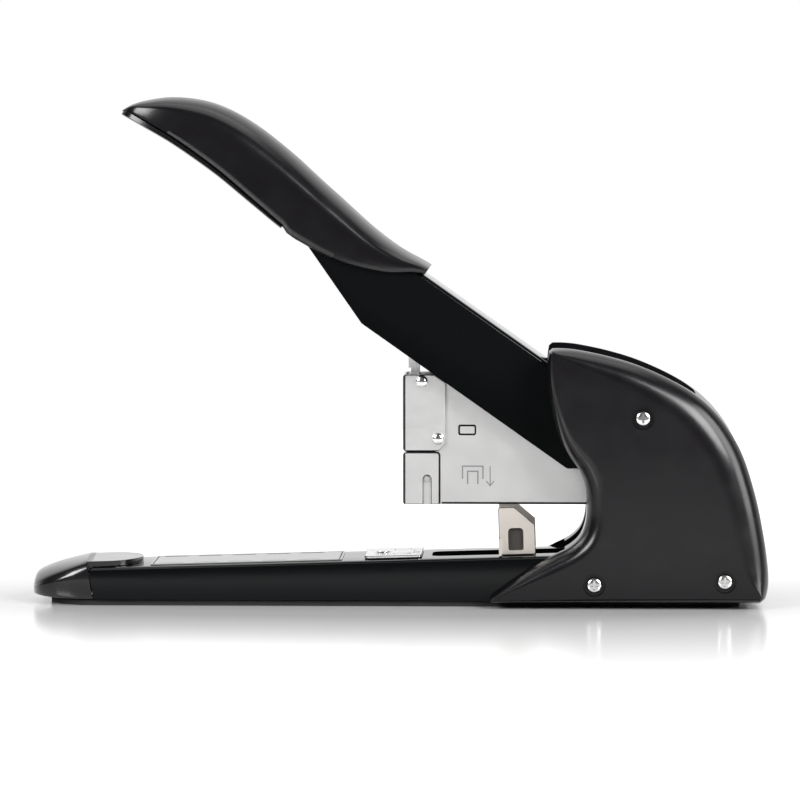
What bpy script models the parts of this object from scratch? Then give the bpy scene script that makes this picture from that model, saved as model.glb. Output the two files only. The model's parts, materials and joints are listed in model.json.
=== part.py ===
"""Heavy-duty lever stapler: a sloping base, a swinging staple head, a long lever handle and two rear covers.

Drawing lengths are millimetres and meshes are stored in metres. The nose points to -X, +Z is up, and the
stapler is symmetric about Y = 0. The floor is Z = 0.
"""

import math

import bmesh
import bpy
from mathutils import Matrix, Vector

MM = 0.001
GAP = 0.3

# Pivots: x, z
HANDLE_PIVOT = (90.0, 60.0)
HEAD_PIVOT = (118.0, 50.0)
HANDLE_TILT = math.radians(35.2)

# Base
BASE_HALF = 23.0
BASE_FRONT = -118.6
BASE_REAR = 136.0
BASE_BOTTOM = 2.4
BASE_SHEET = 1.5
PLATE_HEIGHT = 18.16
PLATE_SLOPE = math.radians(1.672)
SLOT_HALF = 10.0
SLOT_ENDS = (13.0, 68.0)
PAD_THICK = 2.1

# Covers
COVER_HALF = 33.0
COVER_CROWN = 9.0
COVER_WALL = 2.2
MOUTH_HALF = 22.5
ARM_MOUTH_HALF = 19.0
THROAT_HALF = 12.3
SCREWS = ((95.1, 74.2), (76.4, 9.5), (126.9, 10.9))

# Frame inside the covers
FRAME_HALF = 20.2
FRAME_SHEET = 1.4

# Handle, in its own frame: origin on the pivot, -X along the arm towards the tip
ARM_HALF = 17.5
ARM_SHEET = 1.5
ARM_TOP = 10.3
ARM_BOTTOM = -19.15
GRIP_WALL = 2.4

# Staple head
HEAD_BOTTOM = 39.1
HEAD_HALF = 10.9
HEAD_SHEET = 1.2
WRAP_HALF = 12.1
WRAP_INNER = HEAD_HALF + GAP
NOSE_X = 1.7
WRAP_SHEET = 1.2
POST_TOP = 112.0
POST_X = (3.7, 8.0)
BLADE_TIP = 60.5
RAIL_HALF = 5.2
RAIL_BOTTOM = 40.0
RAIL_TOP = 57.0
RAIL_ENDS = (4.6, 84.0)
ROD_HEIGHT = 49.0

# Depth stop, in a frame on the sloping plate
STOP_X = 46.4
STOP_LEG_OUTER = 16.2
STOP_LEG_INNER = 15.0

BLACK_PLASTIC = ((0.020, 0.019, 0.021), 0.38, 0.0)
MATTE_PLASTIC = ((0.026, 0.025, 0.027), 0.6, 0.0)
BLACK_PAINT = ((0.012, 0.013, 0.015), 0.32, 0.1)
NICKEL = ((0.66, 0.65, 0.64), 0.28, 1.0)
WARM_NICKEL = ((0.68, 0.64, 0.58), 0.3, 1.0)
ZINC = ((0.78, 0.79, 0.80), 0.25, 1.0)
CHROME = ((0.74, 0.74, 0.75), 0.15, 1.0)
STEEL = ((0.42, 0.42, 0.43), 0.4, 1.0)
RUBBER = ((0.025, 0.025, 0.026), 0.9, 0.0)
LABEL = ((0.52, 0.52, 0.50), 0.5, 0.0)


# Scene


def clear_scene():
    for obj in list(bpy.data.objects):
        bpy.data.objects.remove(obj, do_unlink=True)


def new_collection(name):
    made = bpy.data.collections.new(name)
    bpy.context.scene.collection.children.link(made)
    return made


clear_scene()
PARTS = new_collection("stapler")
CUTTERS = new_collection("cutters")


def joint_empty(name, at, tilt=0.0, parent=None):
    """An empty on a joint's axis, at a drawing point (x, z), turned about Y."""
    empty = bpy.data.objects.new(name, None)
    PARTS.objects.link(empty)
    origin = parent["origin"] if parent else (0.0, 0.0)
    empty.location = ((at[0] - origin[0]) * MM, 0.0, (at[1] - origin[1]) * MM)
    empty.rotation_euler = (0.0, tilt, 0.0)
    if parent:
        empty.parent = parent["empty"]
    return empty


def body(name, at, local=False, tilt=0.0, parent=None):
    """A moving body. Its pieces are drawn in world coordinates, or in the joint's own frame if local."""
    empty = joint_empty(name, at, tilt, parent)
    shift = (0.0, 0.0) if local else at
    return {"empty": empty, "origin": at, "shift": shift}


def plate_top(x):
    return PLATE_HEIGHT + x * math.tan(PLATE_SLOPE)


BASE = {"empty": None, "origin": (0.0, 0.0), "shift": (0.0, 0.0)}
HANDLE = body("handle_axis", HANDLE_PIVOT, local=True, tilt=HANDLE_TILT)
HEAD = body("head_axis", HEAD_PIVOT)
PLUNGER = body("plunger_axis", (6.0, 90.0), parent=HEAD)
PUSHER = body("pusher_axis", (14.0, ROD_HEIGHT), parent=HEAD)
STOP = body("stop_axis", (STOP_X, plate_top(STOP_X)), local=True, tilt=-PLATE_SLOPE)


def material(name, look):
    colour, roughness, metallic = look
    made = bpy.data.materials.new(name)
    made.use_nodes = True
    shader = made.node_tree.nodes["Principled BSDF"]
    shader.inputs["Base Color"].default_value = (*colour, 1.0)
    shader.inputs["Roughness"].default_value = roughness
    shader.inputs["Metallic"].default_value = metallic
    made.diffuse_color = (*colour, 1.0)
    return made


def add_object(name, mesh, look, where):
    """Names a mesh as a part, colours it and hangs it on its body."""
    obj = bpy.data.objects.new(name, mesh)
    mesh.materials.clear()
    mesh.materials.append(material(name, look))
    PARTS.objects.link(obj)
    obj.parent = where["empty"]
    obj.location = (-where["shift"][0] * MM, 0.0, -where["shift"][1] * MM)
    return obj


# Meshes, drawn in millimetres


def to_mesh(bm, name="piece", sharp=math.radians(35.0)):
    """Ends a bmesh drawing: outward faces, metres, smooth shading with sharp edges kept."""
    bmesh.ops.recalc_face_normals(bm, faces=bm.faces)
    bmesh.ops.scale(bm, vec=(MM, MM, MM), verts=bm.verts)
    mesh = bpy.data.meshes.new(name)
    bm.to_mesh(mesh)
    bm.free()
    mesh.shade_smooth()
    mesh.set_sharp_from_angle(angle=sharp)
    return mesh


def block(low, high, bevel=0.0, segments=2):
    """A box between two corners, with all edges rounded if asked."""
    bm = bmesh.new()
    size = Vector(high) - Vector(low)
    middle = (Vector(high) + Vector(low)) / 2
    bmesh.ops.create_cube(bm, size=1.0, matrix=Matrix.Translation(middle) @ Matrix.Diagonal((*size, 1.0)))
    if bevel:
        bmesh.ops.bevel(bm, geom=list(bm.edges), offset=bevel, segments=segments, affect="EDGES")
    return to_mesh(bm)


def rod(start, end, radius, sides=20):
    """A cylinder between two points."""
    along = Vector(end) - Vector(start)
    turn = along.to_track_quat("Z", "Y").to_matrix().to_4x4()
    middle = Matrix.Translation((Vector(start) + Vector(end)) / 2)
    bm = bmesh.new()
    bmesh.ops.create_cone(
        bm,
        cap_ends=True,
        segments=sides,
        radius1=radius,
        radius2=radius,
        depth=along.length,
        matrix=middle @ turn,
    )
    return to_mesh(bm)


def rounded(corners, steps=4):
    """An outline from corners (x, z) or (x, z, radius): a radius turns the corner into an arc."""
    points = []
    count = len(corners)
    for i, corner in enumerate(corners):
        here = Vector(corner[:2])
        if len(corner) < 3:
            points.append(here)
            continue
        back = (Vector(corners[i - 1][:2]) - here).normalized()
        ahead = (Vector(corners[(i + 1) % count][:2]) - here).normalized()
        half = back.angle(ahead) / 2
        reach = corner[2] / math.tan(half)
        centre = here + (back + ahead).normalized() * corner[2] / math.sin(half)
        first = here + back * reach - centre
        last = here + ahead * reach - centre
        turn = first.angle_signed(last)
        for step in range(steps + 1):
            angle = -turn * step / steps
            spin = Matrix.Rotation(angle, 2)
            points.append(centre + spin @ first)
    return [(p.x, p.y) for p in points]


def arc(centre, radius, start_deg, end_deg, steps):
    """Points along a circular arc, both ends included."""
    points = []
    for step in range(steps + 1):
        angle = math.radians(start_deg + (end_deg - start_deg) * step / steps)
        points.append((centre[0] + radius * math.cos(angle), centre[1] + radius * math.sin(angle)))
    return points


def circle(centre, radius, steps=16):
    return arc(centre, radius, 0.0, 360.0, steps)[:-1]


def fill_curve(outlines, half):
    """A filled 2D curve of one outline and its holes, as thick as twice half."""
    curve = bpy.data.curves.new("outline", "CURVE")
    curve.dimensions = "2D"
    curve.fill_mode = "BOTH"
    curve.extrude = half
    for outline in outlines:
        spline = curve.splines.new("POLY")
        spline.points.add(len(outline) - 1)
        for point, (x, z) in zip(spline.points, outline):
            point.co = (x, z, 0.0, 1.0)
        spline.use_cyclic_u = True
    return curve


def mesh_of_curve(curve, matrix):
    """The closed mesh of a curve, welded, in drawing millimetres turned by the matrix."""
    obj = bpy.data.objects.new("guide", curve)
    bpy.context.scene.collection.objects.link(obj)
    graph = bpy.context.evaluated_depsgraph_get()
    mesh = bpy.data.meshes.new_from_object(obj.evaluated_get(graph))
    bpy.data.objects.remove(obj, do_unlink=True)
    bm = bmesh.new()
    bm.from_mesh(mesh)
    bmesh.ops.remove_doubles(bm, verts=bm.verts, dist=0.001)
    bmesh.ops.transform(bm, matrix=matrix, verts=bm.verts)
    return to_mesh(bm)


def upright(outline, y_low, y_high, holes=()):
    """An XZ outline stood upright between two Y values, with holes."""
    middle = (y_low + y_high) / 2
    turn = Matrix.Translation((0.0, middle, 0.0)) @ Matrix.Rotation(math.radians(90.0), 4, "X")
    return mesh_of_curve(fill_curve((outline, *holes), (y_high - y_low) / 2), turn)


def flat(outline, z_low, z_high, holes=()):
    """An XY outline laid flat between two Z values, with holes."""
    shift = Matrix.Translation((0.0, 0.0, (z_low + z_high) / 2))
    return mesh_of_curve(fill_curve((outline, *holes), (z_high - z_low) / 2), shift)


def round_edges(mesh, keep, offset, segments):
    """Bevels the mesh edges whose two ends both pass the keep test, in millimetres."""
    bm = bmesh.new()
    bm.from_mesh(mesh)
    bmesh.ops.scale(bm, vec=(1 / MM, 1 / MM, 1 / MM), verts=bm.verts)
    chosen = [edge for edge in bm.edges if all(keep(v.co) for v in edge.verts)]
    bmesh.ops.bevel(bm, geom=chosen, offset=offset, segments=segments, affect="EDGES", profile=0.5)
    return to_mesh(bm)


def loft(rings):
    """A closed skin through rings of equal point count, capped at both ends."""
    bm = bmesh.new()
    rows = [[bm.verts.new(point) for point in ring] for ring in rings]
    count = len(rings[0])
    for row, following in zip(rows, rows[1:]):
        for i in range(count):
            j = (i + 1) % count
            bm.faces.new((row[i], row[j], following[j], following[i]))
    bm.faces.new(rows[0])
    bm.faces.new(list(reversed(rows[-1])))
    return to_mesh(bm)


def combine(mesh, others, operation):
    """Cuts or joins meshes with an exact Boolean and returns the result."""
    target = bpy.data.objects.new("target", mesh)
    CUTTERS.objects.link(target)
    tools = []
    for other in others:
        tool = bpy.data.objects.new("cutter", other)
        tool.hide_render = True
        tool.display_type = "WIRE"
        CUTTERS.objects.link(tool)
        tools.append(tool)
        modifier = target.modifiers.new("combine", "BOOLEAN")
        modifier.operation = operation
        modifier.solver = "EXACT"
        modifier.object = tool
    graph = bpy.context.evaluated_depsgraph_get()
    made = bpy.data.meshes.new_from_object(target.evaluated_get(graph))
    for obj in [target, *tools]:
        bpy.data.objects.remove(obj, do_unlink=True)
    return made


def cut(mesh, *others):
    return combine(mesh, others, "DIFFERENCE")


def join(mesh, *others):
    return combine(mesh, others, "UNION")


def mirrored(mesh):
    """The same mesh on the other side of Y = 0."""
    bm = bmesh.new()
    bm.from_mesh(mesh)
    bmesh.ops.scale(bm, vec=(1.0, -1.0, 1.0), verts=bm.verts)
    bmesh.ops.reverse_faces(bm, faces=bm.faces)
    made = bpy.data.meshes.new("mirrored")
    bm.to_mesh(made)
    bm.free()
    made.shade_smooth()
    made.set_sharp_from_angle(angle=math.radians(35.0))
    return made


def smooth_chain(knots, steps):
    """A Catmull-Rom chain through knots of any width, ends included."""
    points = []
    for i in range(len(knots) - 1):
        before = Vector(knots[max(i - 1, 0)])
        start = Vector(knots[i])
        end = Vector(knots[i + 1])
        after = Vector(knots[min(i + 2, len(knots) - 1)])
        for step in range(steps):
            t = step / steps
            point = (
                start * 2
                + (end - before) * t
                + (before * 2 - start * 5 + end * 4 - after) * t**2
                + (start * 3 - before - end * 3 + after) * t**3
            )
            points.append(tuple(point / 2))
    points.append(tuple(knots[-1]))
    return points


def turned(name, profile, look, where, at, direction, sides=20):
    """A profile (radius, height) listed top to bottom, spun about the direction at a point."""
    bm = bmesh.new()
    verts = [bm.verts.new((radius * MM, 0.0, height * MM)) for radius, height in profile]
    for first, second in zip(verts, verts[1:]):
        bm.edges.new((first, second))
    mesh = bpy.data.meshes.new(name)
    bm.to_mesh(mesh)
    bm.free()
    obj = add_object(name, mesh, look, where)
    obj.location = obj.location + Vector(at) * MM
    obj.rotation_euler = Vector(direction).to_track_quat("Z", "Y").to_euler()
    spin = obj.modifiers.new("spin", "SCREW")
    spin.axis = "Z"
    spin.steps = sides
    spin.render_steps = sides
    spin.use_merge_vertices = True
    spin.merge_threshold = 0.00001
    return obj


def coil(centre, radius, wire, height, turns, points_per_turn=10):
    """Points of a compression coil standing on centre along +Z."""
    total = int(turns * points_per_turn)
    rise = height - wire
    points = []
    for step in range(total + 1):
        angle = 2 * math.pi * step / points_per_turn
        z = centre[2] + wire / 2 + rise * step / total
        points.append((centre[0] + radius * math.cos(angle), centre[1] + radius * math.sin(angle), z))
    return points


def wire_object(name, points, wire, look, where):
    """A round wire along a list of points."""
    curve = bpy.data.curves.new(name, "CURVE")
    curve.dimensions = "3D"
    curve.bevel_depth = wire / 2 * MM
    curve.bevel_resolution = 2
    curve.use_fill_caps = True
    spline = curve.splines.new("POLY")
    spline.points.add(len(points) - 1)
    for point, place in zip(spline.points, points):
        point.co = (*(Vector(place) * MM), 1.0)
    curve.materials.append(material(name, look))
    obj = bpy.data.objects.new(name, curve)
    PARTS.objects.link(obj)
    obj.parent = where["empty"]
    obj.location = (-where["shift"][0] * MM, 0.0, -where["shift"][1] * MM)
    return obj


# Base


def wedge(x_low, x_high, half, bottom, drop):
    """A prism under the sloping plate, its top lowered by drop."""
    outline = (
        (x_low, bottom),
        (x_high, bottom),
        (x_high, plate_top(x_high) - drop),
        (x_low, plate_top(x_low) - drop),
    )
    return upright(outline, -half, half)


def base_channel():
    bend = 3.0
    shell = wedge(BASE_FRONT, BASE_REAR, BASE_HALF, BASE_BOTTOM, 0.0)
    shell = round_edges(shell, lambda v: v.z > 10.0 and abs(v.y) > 20.0, bend, 4)
    inside = wedge(BASE_FRONT - 5, BASE_REAR + 5, BASE_HALF - BASE_SHEET, BASE_BOTTOM - 5, BASE_SHEET)
    inside = round_edges(inside, lambda v: v.z > 10.0 and abs(v.y) > 20.0, bend - BASE_SHEET, 3)
    middle = sum(SLOT_ENDS) / 2
    half_length = (SLOT_ENDS[1] - SLOT_ENDS[0]) / 2
    corner = 4.0
    slot = rounded(
        [
            (middle - half_length, -SLOT_HALF, corner),
            (middle + half_length, -SLOT_HALF, corner),
            (middle + half_length, SLOT_HALF, corner),
            (middle - half_length, SLOT_HALF, corner),
        ]
    )
    holes = [rod((x, -30, z), (x, 30, z), 2.3) for x, z in SCREWS[1:]]
    holes += [rod((x, y, 10), (x, y, 30), 2.3, 10) for x, y in FRAME_RIVETS]
    holes.append(rod((ANVIL_RIVET, 0, 10), (ANVIL_RIVET, 0, 30), 2.3, 14))
    made = cut(shell, inside, flat(slot, 10, 30), *holes)
    add_object("base_channel", made, BLACK_PAINT, BASE)


def rubber_pad():
    half = BASE_HALF - 1.5
    outline = rounded(
        [(-137.0, -half, 18.0), (133.0, -half, 5.0), (133.0, half, 5.0), (-137.0, half, 18.0)],
        steps=6,
    )
    add_object("rubber_pad", flat(outline, 0.0, PAD_THICK), RUBBER, BASE)


NOSE_REACH = 22.6
NOSE_HALF = BASE_HALF + 0.2
NOSE_CROWN = 18.6
NOSE_SIDE = 16.2
TONGUE_HALF = 19.0
TONGUE_REACH = 13.6
TONGUE_THICK = 2.0


def nose_cap():
    """A toe that falls away in front of the channel, with a tongue that lies on the plate."""
    rings = []
    steps = 8
    for step in range(steps + 1):
        turn = math.radians(82.0 * step / steps)
        share = math.sin(turn)
        x = BASE_FRONT - 3.0 - NOSE_REACH * share
        half = NOSE_HALF * math.cos(turn) ** 0.55
        crown = NOSE_CROWN - 5.2 * share - 2.5 * share**4
        side = NOSE_SIDE - 8.8 * share - 0.8 * share**2
        keel = BASE_BOTTOM + 0.1 + 1.2 * share**4
        lean = 2.8 * (1.0 - step / steps)
        ring = [
            (x + lean, -half * 0.94, keel),
            (x + lean * 0.7, -half, keel + 1.0),
            (x, -half, side - 1.6),
            (x, -half * 0.93, side),
            (x, -half * 0.55, (side + crown * 2) / 3),
            (x, 0.0, crown),
        ]
        ring += [(px, -py, pz) for px, py, pz in reversed(ring[:-1])]
        rings.append(ring)
    toe = loft(rings)
    plan = [(BASE_FRONT - 4.0, -TONGUE_HALF), (BASE_FRONT - 4.0, TONGUE_HALF)]
    for point in arc((0.0, 0.0), 1.0, 90.0, -90.0, 16):
        plan.append((BASE_FRONT + 4.0 + TONGUE_REACH * point[0], TONGUE_HALF * point[1]))
    tongue = on_plate(flat(plan, GAP, GAP + TONGUE_THICK))
    add_object("nose_cap", join(toe, tongue), BLACK_PLASTIC, BASE)


ANVIL_ENDS = (-13.2, 9.2)
ANVIL_RIVET = -6.5
ANVIL_HALF = 17.0
LABEL_ENDS = (-97.0, -22.0)
LABEL_HALF = 18.0
LABEL_LIFT = 0.1
LABEL_THICK = 0.3
FRAME_RIVETS = ((82.0, -13.0), (82.0, 13.0), (128.0, -13.0), (128.0, 13.0))


def on_plate(mesh):
    """Lays a mesh drawn around Z = 0 on the sloping plate."""
    mesh.transform(Matrix.Translation((0.0, 0.0, PLATE_HEIGHT * MM)) @ Matrix.Rotation(-PLATE_SLOPE, 4, "Y"))
    return mesh


def anvil_plate():
    """Clincher plate with two curved pockets under the staple's legs."""
    corner = 2.0
    outline = rounded(
        [
            (ANVIL_ENDS[0], -ANVIL_HALF, corner),
            (ANVIL_ENDS[1], -ANVIL_HALF, corner),
            (ANVIL_ENDS[1], ANVIL_HALF, corner),
            (ANVIL_ENDS[0], ANVIL_HALF, corner),
        ],
        steps=3,
    )
    thick = 1.0
    plate = flat(outline, GAP, GAP + thick, holes=[circle((ANVIL_RIVET, 0.0), 2.3, 14)])
    pockets = []
    for side in (-1, 1):
        pocket = rod((5.7, side * 4.2, 5.1), (8.3, side * 4.2, 5.1), 4.5, 24)
        pockets.append(pocket)
    add_object("anvil_plate", on_plate(cut(plate, *pockets)), CHROME, BASE)
    seat = thick + 2 * GAP
    rivet = [(0.0, seat + 0.7), (2.2, seat + 0.55), (3.4, seat + 0.2), (3.4, seat), (2.0, seat), (2.0, -1.9)]
    rivet += [(3.4, -1.9), (3.4, -2.6), (0.0, -2.6)]
    turned("anvil_rivet", rivet, CHROME, BASE, (ANVIL_RIVET, 0.0, plate_top(ANVIL_RIVET)), (0, 0, 1), 16)


def scale_label():
    """Thin printed panel on the plate."""
    corner = 2.0
    outline = rounded(
        [
            (LABEL_ENDS[0], -LABEL_HALF, corner),
            (LABEL_ENDS[1], -LABEL_HALF, corner),
            (LABEL_ENDS[1], LABEL_HALF, corner),
            (LABEL_ENDS[0], LABEL_HALF, corner),
        ],
        steps=3,
    )
    add_object("scale_label", on_plate(flat(outline, LABEL_LIFT, LABEL_LIFT + LABEL_THICK)), LABEL, BASE)


# Rear frame, pins and spacers


def rear_frame():
    side = rounded(
        [
            (76.0, plate_top(76.0) + GAP),
            (133.5, plate_top(133.5) + GAP),
            (133.5, 42.0, 6.0),
            (124.0, 62.0, 8.0),
            (104.0, 83.0, 6.0),
            (87.0, 83.0, 6.0),
            (79.0, 66.0, 6.0),
            (76.0, 40.0, 6.0),
        ]
    )
    shell = upright(side, -FRAME_HALF, FRAME_HALF)
    web_top = GAP + FRAME_SHEET
    room = [
        (60.0, plate_top(60.0) + web_top),
        (150.0, plate_top(150.0) + web_top),
        (150.0, 110.0),
        (60.0, 110.0),
    ]
    inside = upright(room, -FRAME_HALF + FRAME_SHEET, FRAME_HALF - FRAME_SHEET)
    holes = [
        rod((HANDLE_PIVOT[0], -30, HANDLE_PIVOT[1]), (HANDLE_PIVOT[0], 30, HANDLE_PIVOT[1]), 4.2, 24),
        rod((HEAD_PIVOT[0], -30, HEAD_PIVOT[1]), (HEAD_PIVOT[0], 30, HEAD_PIVOT[1]), 3.2, 20),
        rod((SCREWS[0][0], -30, SCREWS[0][1]), (SCREWS[0][0], 30, SCREWS[0][1]), 3.7, 20),
    ]
    holes += [rod((x, y, 10), (x, y, 30), 2.3, 10) for x, y in FRAME_RIVETS]
    add_object("rear_frame", cut(shell, inside, *holes), STEEL, BASE)
    for i, (x, y) in enumerate(FRAME_RIVETS, 1):
        head = web_top + 2 * GAP - 0.1
        under = -BASE_SHEET - GAP - 0.1
        profile = [(0.0, head + 1.6), (2.4, head + 1.3), (3.6, head + 0.5), (3.6, head), (2.0, head)]
        profile += [(2.0, under), (3.6, under), (3.6, under - 0.9), (0.0, under - 0.9)]
        turned(f"frame_rivet_{i}", profile, ZINC, BASE, (x, y, plate_top(x)), (0, 0, 1), 12)


def pivot_pin(name, at, radius, look):
    """A headed cross pin through both frame sides."""
    inner = FRAME_HALF + GAP
    head = radius + 1.6
    profile = [(0.0, inner + 1.4), (head - 0.5, inner + 1.4), (head, inner + 0.9), (head, inner)]
    profile.append((radius, inner))
    profile += [(r, -h) for r, h in reversed(profile)]
    turned(name, profile, look, BASE, (at[0], 0.0, at[1]), (0, 1, 0), 20)


def pins_and_spacers():
    pivot_pin("handle_pivot_pin", HANDLE_PIVOT, 3.9, ZINC)
    pivot_pin("head_pivot_pin", HEAD_PIVOT, 2.9, ZINC)
    for name, side in (("pivot_spacer_left", -1), ("pivot_spacer_right", 1)):
        inner = HEAD_HALF + GAP
        outer = FRAME_HALF - FRAME_SHEET - GAP
        x, z = HEAD_PIVOT
        sleeve = rod((x, side * inner, z), (x, side * outer, z), 5.0)
        bore = rod((x, side * (inner - 2), z), (x, side * (outer + 2), z), 3.2)
        add_object(name, cut(sleeve, bore), MATTE_PLASTIC, BASE)
    lengths = (FRAME_HALF + 0.2, BASE_HALF - BASE_SHEET - GAP, BASE_HALF - BASE_SHEET - GAP)
    radii = (3.4, 4.0, 4.0)
    names = ("spacer_upper", "spacer_front", "spacer_rear")
    for name, (x, z), half, radius in zip(names, SCREWS, lengths, radii):
        bar = rod((x, -half, z), (x, half, z), radius, 18)
        bores = [rod((x, side * (half - 8), z), (x, side * (half + 5), z), 2.0, 14) for side in (-1, 1)]
        add_object(name, cut(bar, *bores), ZINC, BASE)


# Covers

# Knots of the side outline: x, z and the width of the soft edge there
COVER_TOP = (
    (60.0, 100.8, 1.2),
    (64.5, 100.8, 3.4),
    (70.6, 100.1, 5.0),
    (81.6, 97.8, 7.0),
    (92.9, 94.4, 8.5),
    (104.5, 89.4, 10.0),
    (114.0, 84.0, 11.0),
    (121.6, 77.8, 12.0),
    (128.3, 69.6, 12.0),
    (134.2, 58.6, 12.0),
    (139.0, 43.3, 12.0),
    (142.0, 29.0, 11.5),
    (143.6, 18.0, 10.0),
    (144.0, 10.0, 7.0),
    (142.9, 4.4, 2.6),
    (140.6, 2.2, 1.8),
)
COVER_BOTTOM = (
    (120.0, 2.2, 1.8),
    (70.0, 2.2, 1.6),
    (50.5, 2.2, 1.2),
)
COVER_FRONT = (
    (37.0, 2.2, 0.8),
    (35.8, 3.2, 0.6),
    (37.2, 5.3, 1.0),
    (44.7, 10.9, 2.5),
    (52.1, 15.8, 4.0),
    (60.0, 20.3, 5.0),
    (66.5, 23.6, 6.0),
    (70.8, 27.6, 6.5),
    (72.9, 33.0, 7.0),
    (73.4, 40.0, 7.0),
    (72.8, 47.5, 7.0),
    (70.6, 53.4, 6.5),
    (67.3, 58.0, 6.0),
    (63.9, 63.8, 5.0),
    (61.2, 71.5, 4.0),
    (59.2, 80.5, 3.0),
    (58.1, 88.8, 2.5),
    (58.1, 95.5, 2.0),
    (58.7, 99.7, 1.2),
)
FOOT_CAVITY_X = 50.0


def cover_outline(steps):
    return smooth_chain(COVER_TOP, steps) + list(COVER_BOTTOM) + smooth_chain(COVER_FRONT, steps)


def inward_normals(outline):
    """Unit normals that point into a clockwise outline."""
    normals = []
    count = len(outline)
    for i in range(count):
        before = Vector(outline[i - 1][:2])
        after = Vector(outline[(i + 1) % count][:2])
        along = (after - before).normalized()
        normals.append(Vector((along.y, -along.x)))
    return normals


def crowned(outline, depth, face, crown, rings):
    """A pad from Y = -depth to Y = -face whose far edge is rounded by each outline point's own width."""
    normals = inward_normals(outline)
    levels = [(depth, 0.0)]
    for step in range(rings + 1):
        turn = math.pi / 2 * step / rings
        levels.append((-(face - crown) - crown * math.sin(turn), 1.0 - math.cos(turn)))
    made = []
    for y, share in levels:
        ring = []
        for (x, z, width), normal in zip(outline, normals):
            ring.append((x + normal.x * width * share, y, z + normal.y * width * share))
        made.append(ring)
    return loft(made)


def cover_cavity(outline):
    """The same pad, a wall's thickness smaller, without the thin foot or points lost in a tight corner."""
    wall = COVER_WALL + 0.1
    inner = []
    for (x, z, width), normal in zip(outline, inward_normals(outline)):
        place = Vector((x, z)) + normal * wall
        nearest = min((place - Vector(other[:2])).length for other in outline)
        if place.x >= FOOT_CAVITY_X and nearest > wall * 0.98:
            inner.append((place.x, place.y, max(width - COVER_WALL, 0.3)))
    return crowned(inner, 3.0, COVER_HALF - COVER_WALL, COVER_CROWN - COVER_WALL, 3)


def left_cover_mesh():
    outline = cover_outline(2)
    shell = crowned(outline, -GAP / 2, COVER_HALF, COVER_CROWN, 4)
    mouth = rounded([(30.0, -MOUTH_HALF), (116.0, -MOUTH_HALF, 10.0), (116.0, 30.0), (30.0, 30.0)], steps=5)
    arm_room = [(30.0, -ARM_MOUTH_HALF), (80.0, -ARM_MOUTH_HALF), (80.0, 30.0), (30.0, 30.0)]
    channel_top = plate_top(BASE_REAR) + 0.6
    room = [
        cover_cavity(outline),
        flat(mouth, 54.0, 120.0),
        flat(arm_room, 42.5, 56.0),
        block((30.0, -THROAT_HALF, 15.0), (80.0, 5.0, 43.0)),
        block((30.0, -BASE_HALF - 0.4, -5.0), (BASE_REAR + 0.6, 5.0, channel_top)),
    ]
    hollow = cut(shell, *room)
    bosses = []
    bores = []
    ends = (FRAME_HALF + 2 * GAP, BASE_HALF + 0.7, BASE_HALF + 0.7)
    for (x, z), end in zip(SCREWS, ends):
        bosses.append(rod((x, -COVER_HALF + 1.0, z), (x, -end, z), 5.4, 20))
        bores.append(rod((x, -40.0, z), (x, -10.0, z), 2.1, 16))
        bores.append(rod((x, -40.0, z), (x, -COVER_HALF + 1.9, z), 4.4, 24))
    return cut(join(hollow, *bosses), *bores)


def covers():
    left = left_cover_mesh()
    add_object("right_cover", mirrored(left), BLACK_PLASTIC, BASE)
    add_object("left_cover", left, BLACK_PLASTIC, BASE)


def cover_screw_mesh():
    """A pan-head screw drawn at the origin, its head towards +Z, with a cross recess."""
    head = 3.05
    profile = [(0.0, 1.6), (1.2, 1.52), (2.1, 1.25), (2.8, 0.7), (head, 0.0)]
    profile += [(1.7, 0.0), (1.7, -14.0), (0.0, -14.8)]
    bm = bmesh.new()
    verts = [bm.verts.new((radius, 0.0, height)) for radius, height in profile]
    edges = [bm.edges.new(pair) for pair in zip(verts, verts[1:])]
    bmesh.ops.spin(
        bm,
        geom=edges + verts,
        cent=(0, 0, 0),
        axis=(0, 0, 1),
        angle=2 * math.pi,
        steps=18,
        use_merge=True,
    )
    bmesh.ops.remove_doubles(bm, verts=bm.verts, dist=0.001)
    screw = to_mesh(bm)
    long_arm = 1.75
    short_arm = 0.42
    cross = [
        block((-long_arm, -short_arm, 0.6), (long_arm, short_arm, 3.0)),
        block((-short_arm, -long_arm, 0.6), (short_arm, long_arm, 3.0)),
    ]
    return cut(screw, *cross)


def cover_screws():
    mesh = cover_screw_mesh()
    sides = (("left", -1), ("right", 1))
    places = ("upper", "front", "rear")
    for word, side in sides:
        for place, (x, z) in zip(places, SCREWS):
            obj = add_object(f"screw_{word}_{place}", mesh.copy(), ZINC, BASE)
            obj.location = Vector((x, side * (COVER_HALF - 1.6), z)) * MM
            obj.rotation_euler = (math.radians(90.0) * -side, 0.0, 0.0)


# Handle


def arm_outline():
    tail = arc((0.0, 0.0), ARM_TOP, 90.0, -110.0, 12)
    front = [(-16.0, ARM_BOTTOM, 3.0), (-114.1, ARM_BOTTOM, 1.5), (-149.3, -6.3), (-160.0, -2.4)]
    front.append((-160.0, ARM_TOP))
    return tail + rounded([tail[-1], *front, tail[0]])[1:-1]


def handle_arm():
    bend = 2.0
    shell = upright(arm_outline(), -ARM_HALF, ARM_HALF)
    shell = round_edges(shell, lambda v: v.z > ARM_TOP - 0.01 and abs(v.y) > ARM_HALF - 0.01, bend, 3)
    floor = [(-200.0, -60.0), (40.0, -60.0), (40.0, ARM_TOP - ARM_SHEET), (-200.0, ARM_TOP - ARM_SHEET)]
    inside = upright(floor, -ARM_HALF + ARM_SHEET, ARM_HALF - ARM_SHEET)
    holes = [rod((0, -30, 0), (0, 30, 0), 4.2, 24)]
    holes += [rod((x, 0, 0), (x, 0, 30), 1.9, 14) for x in GRIP_SCREWS]
    add_object("handle_arm", cut(shell, inside, *holes), BLACK_PAINT, HANDLE)


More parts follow.
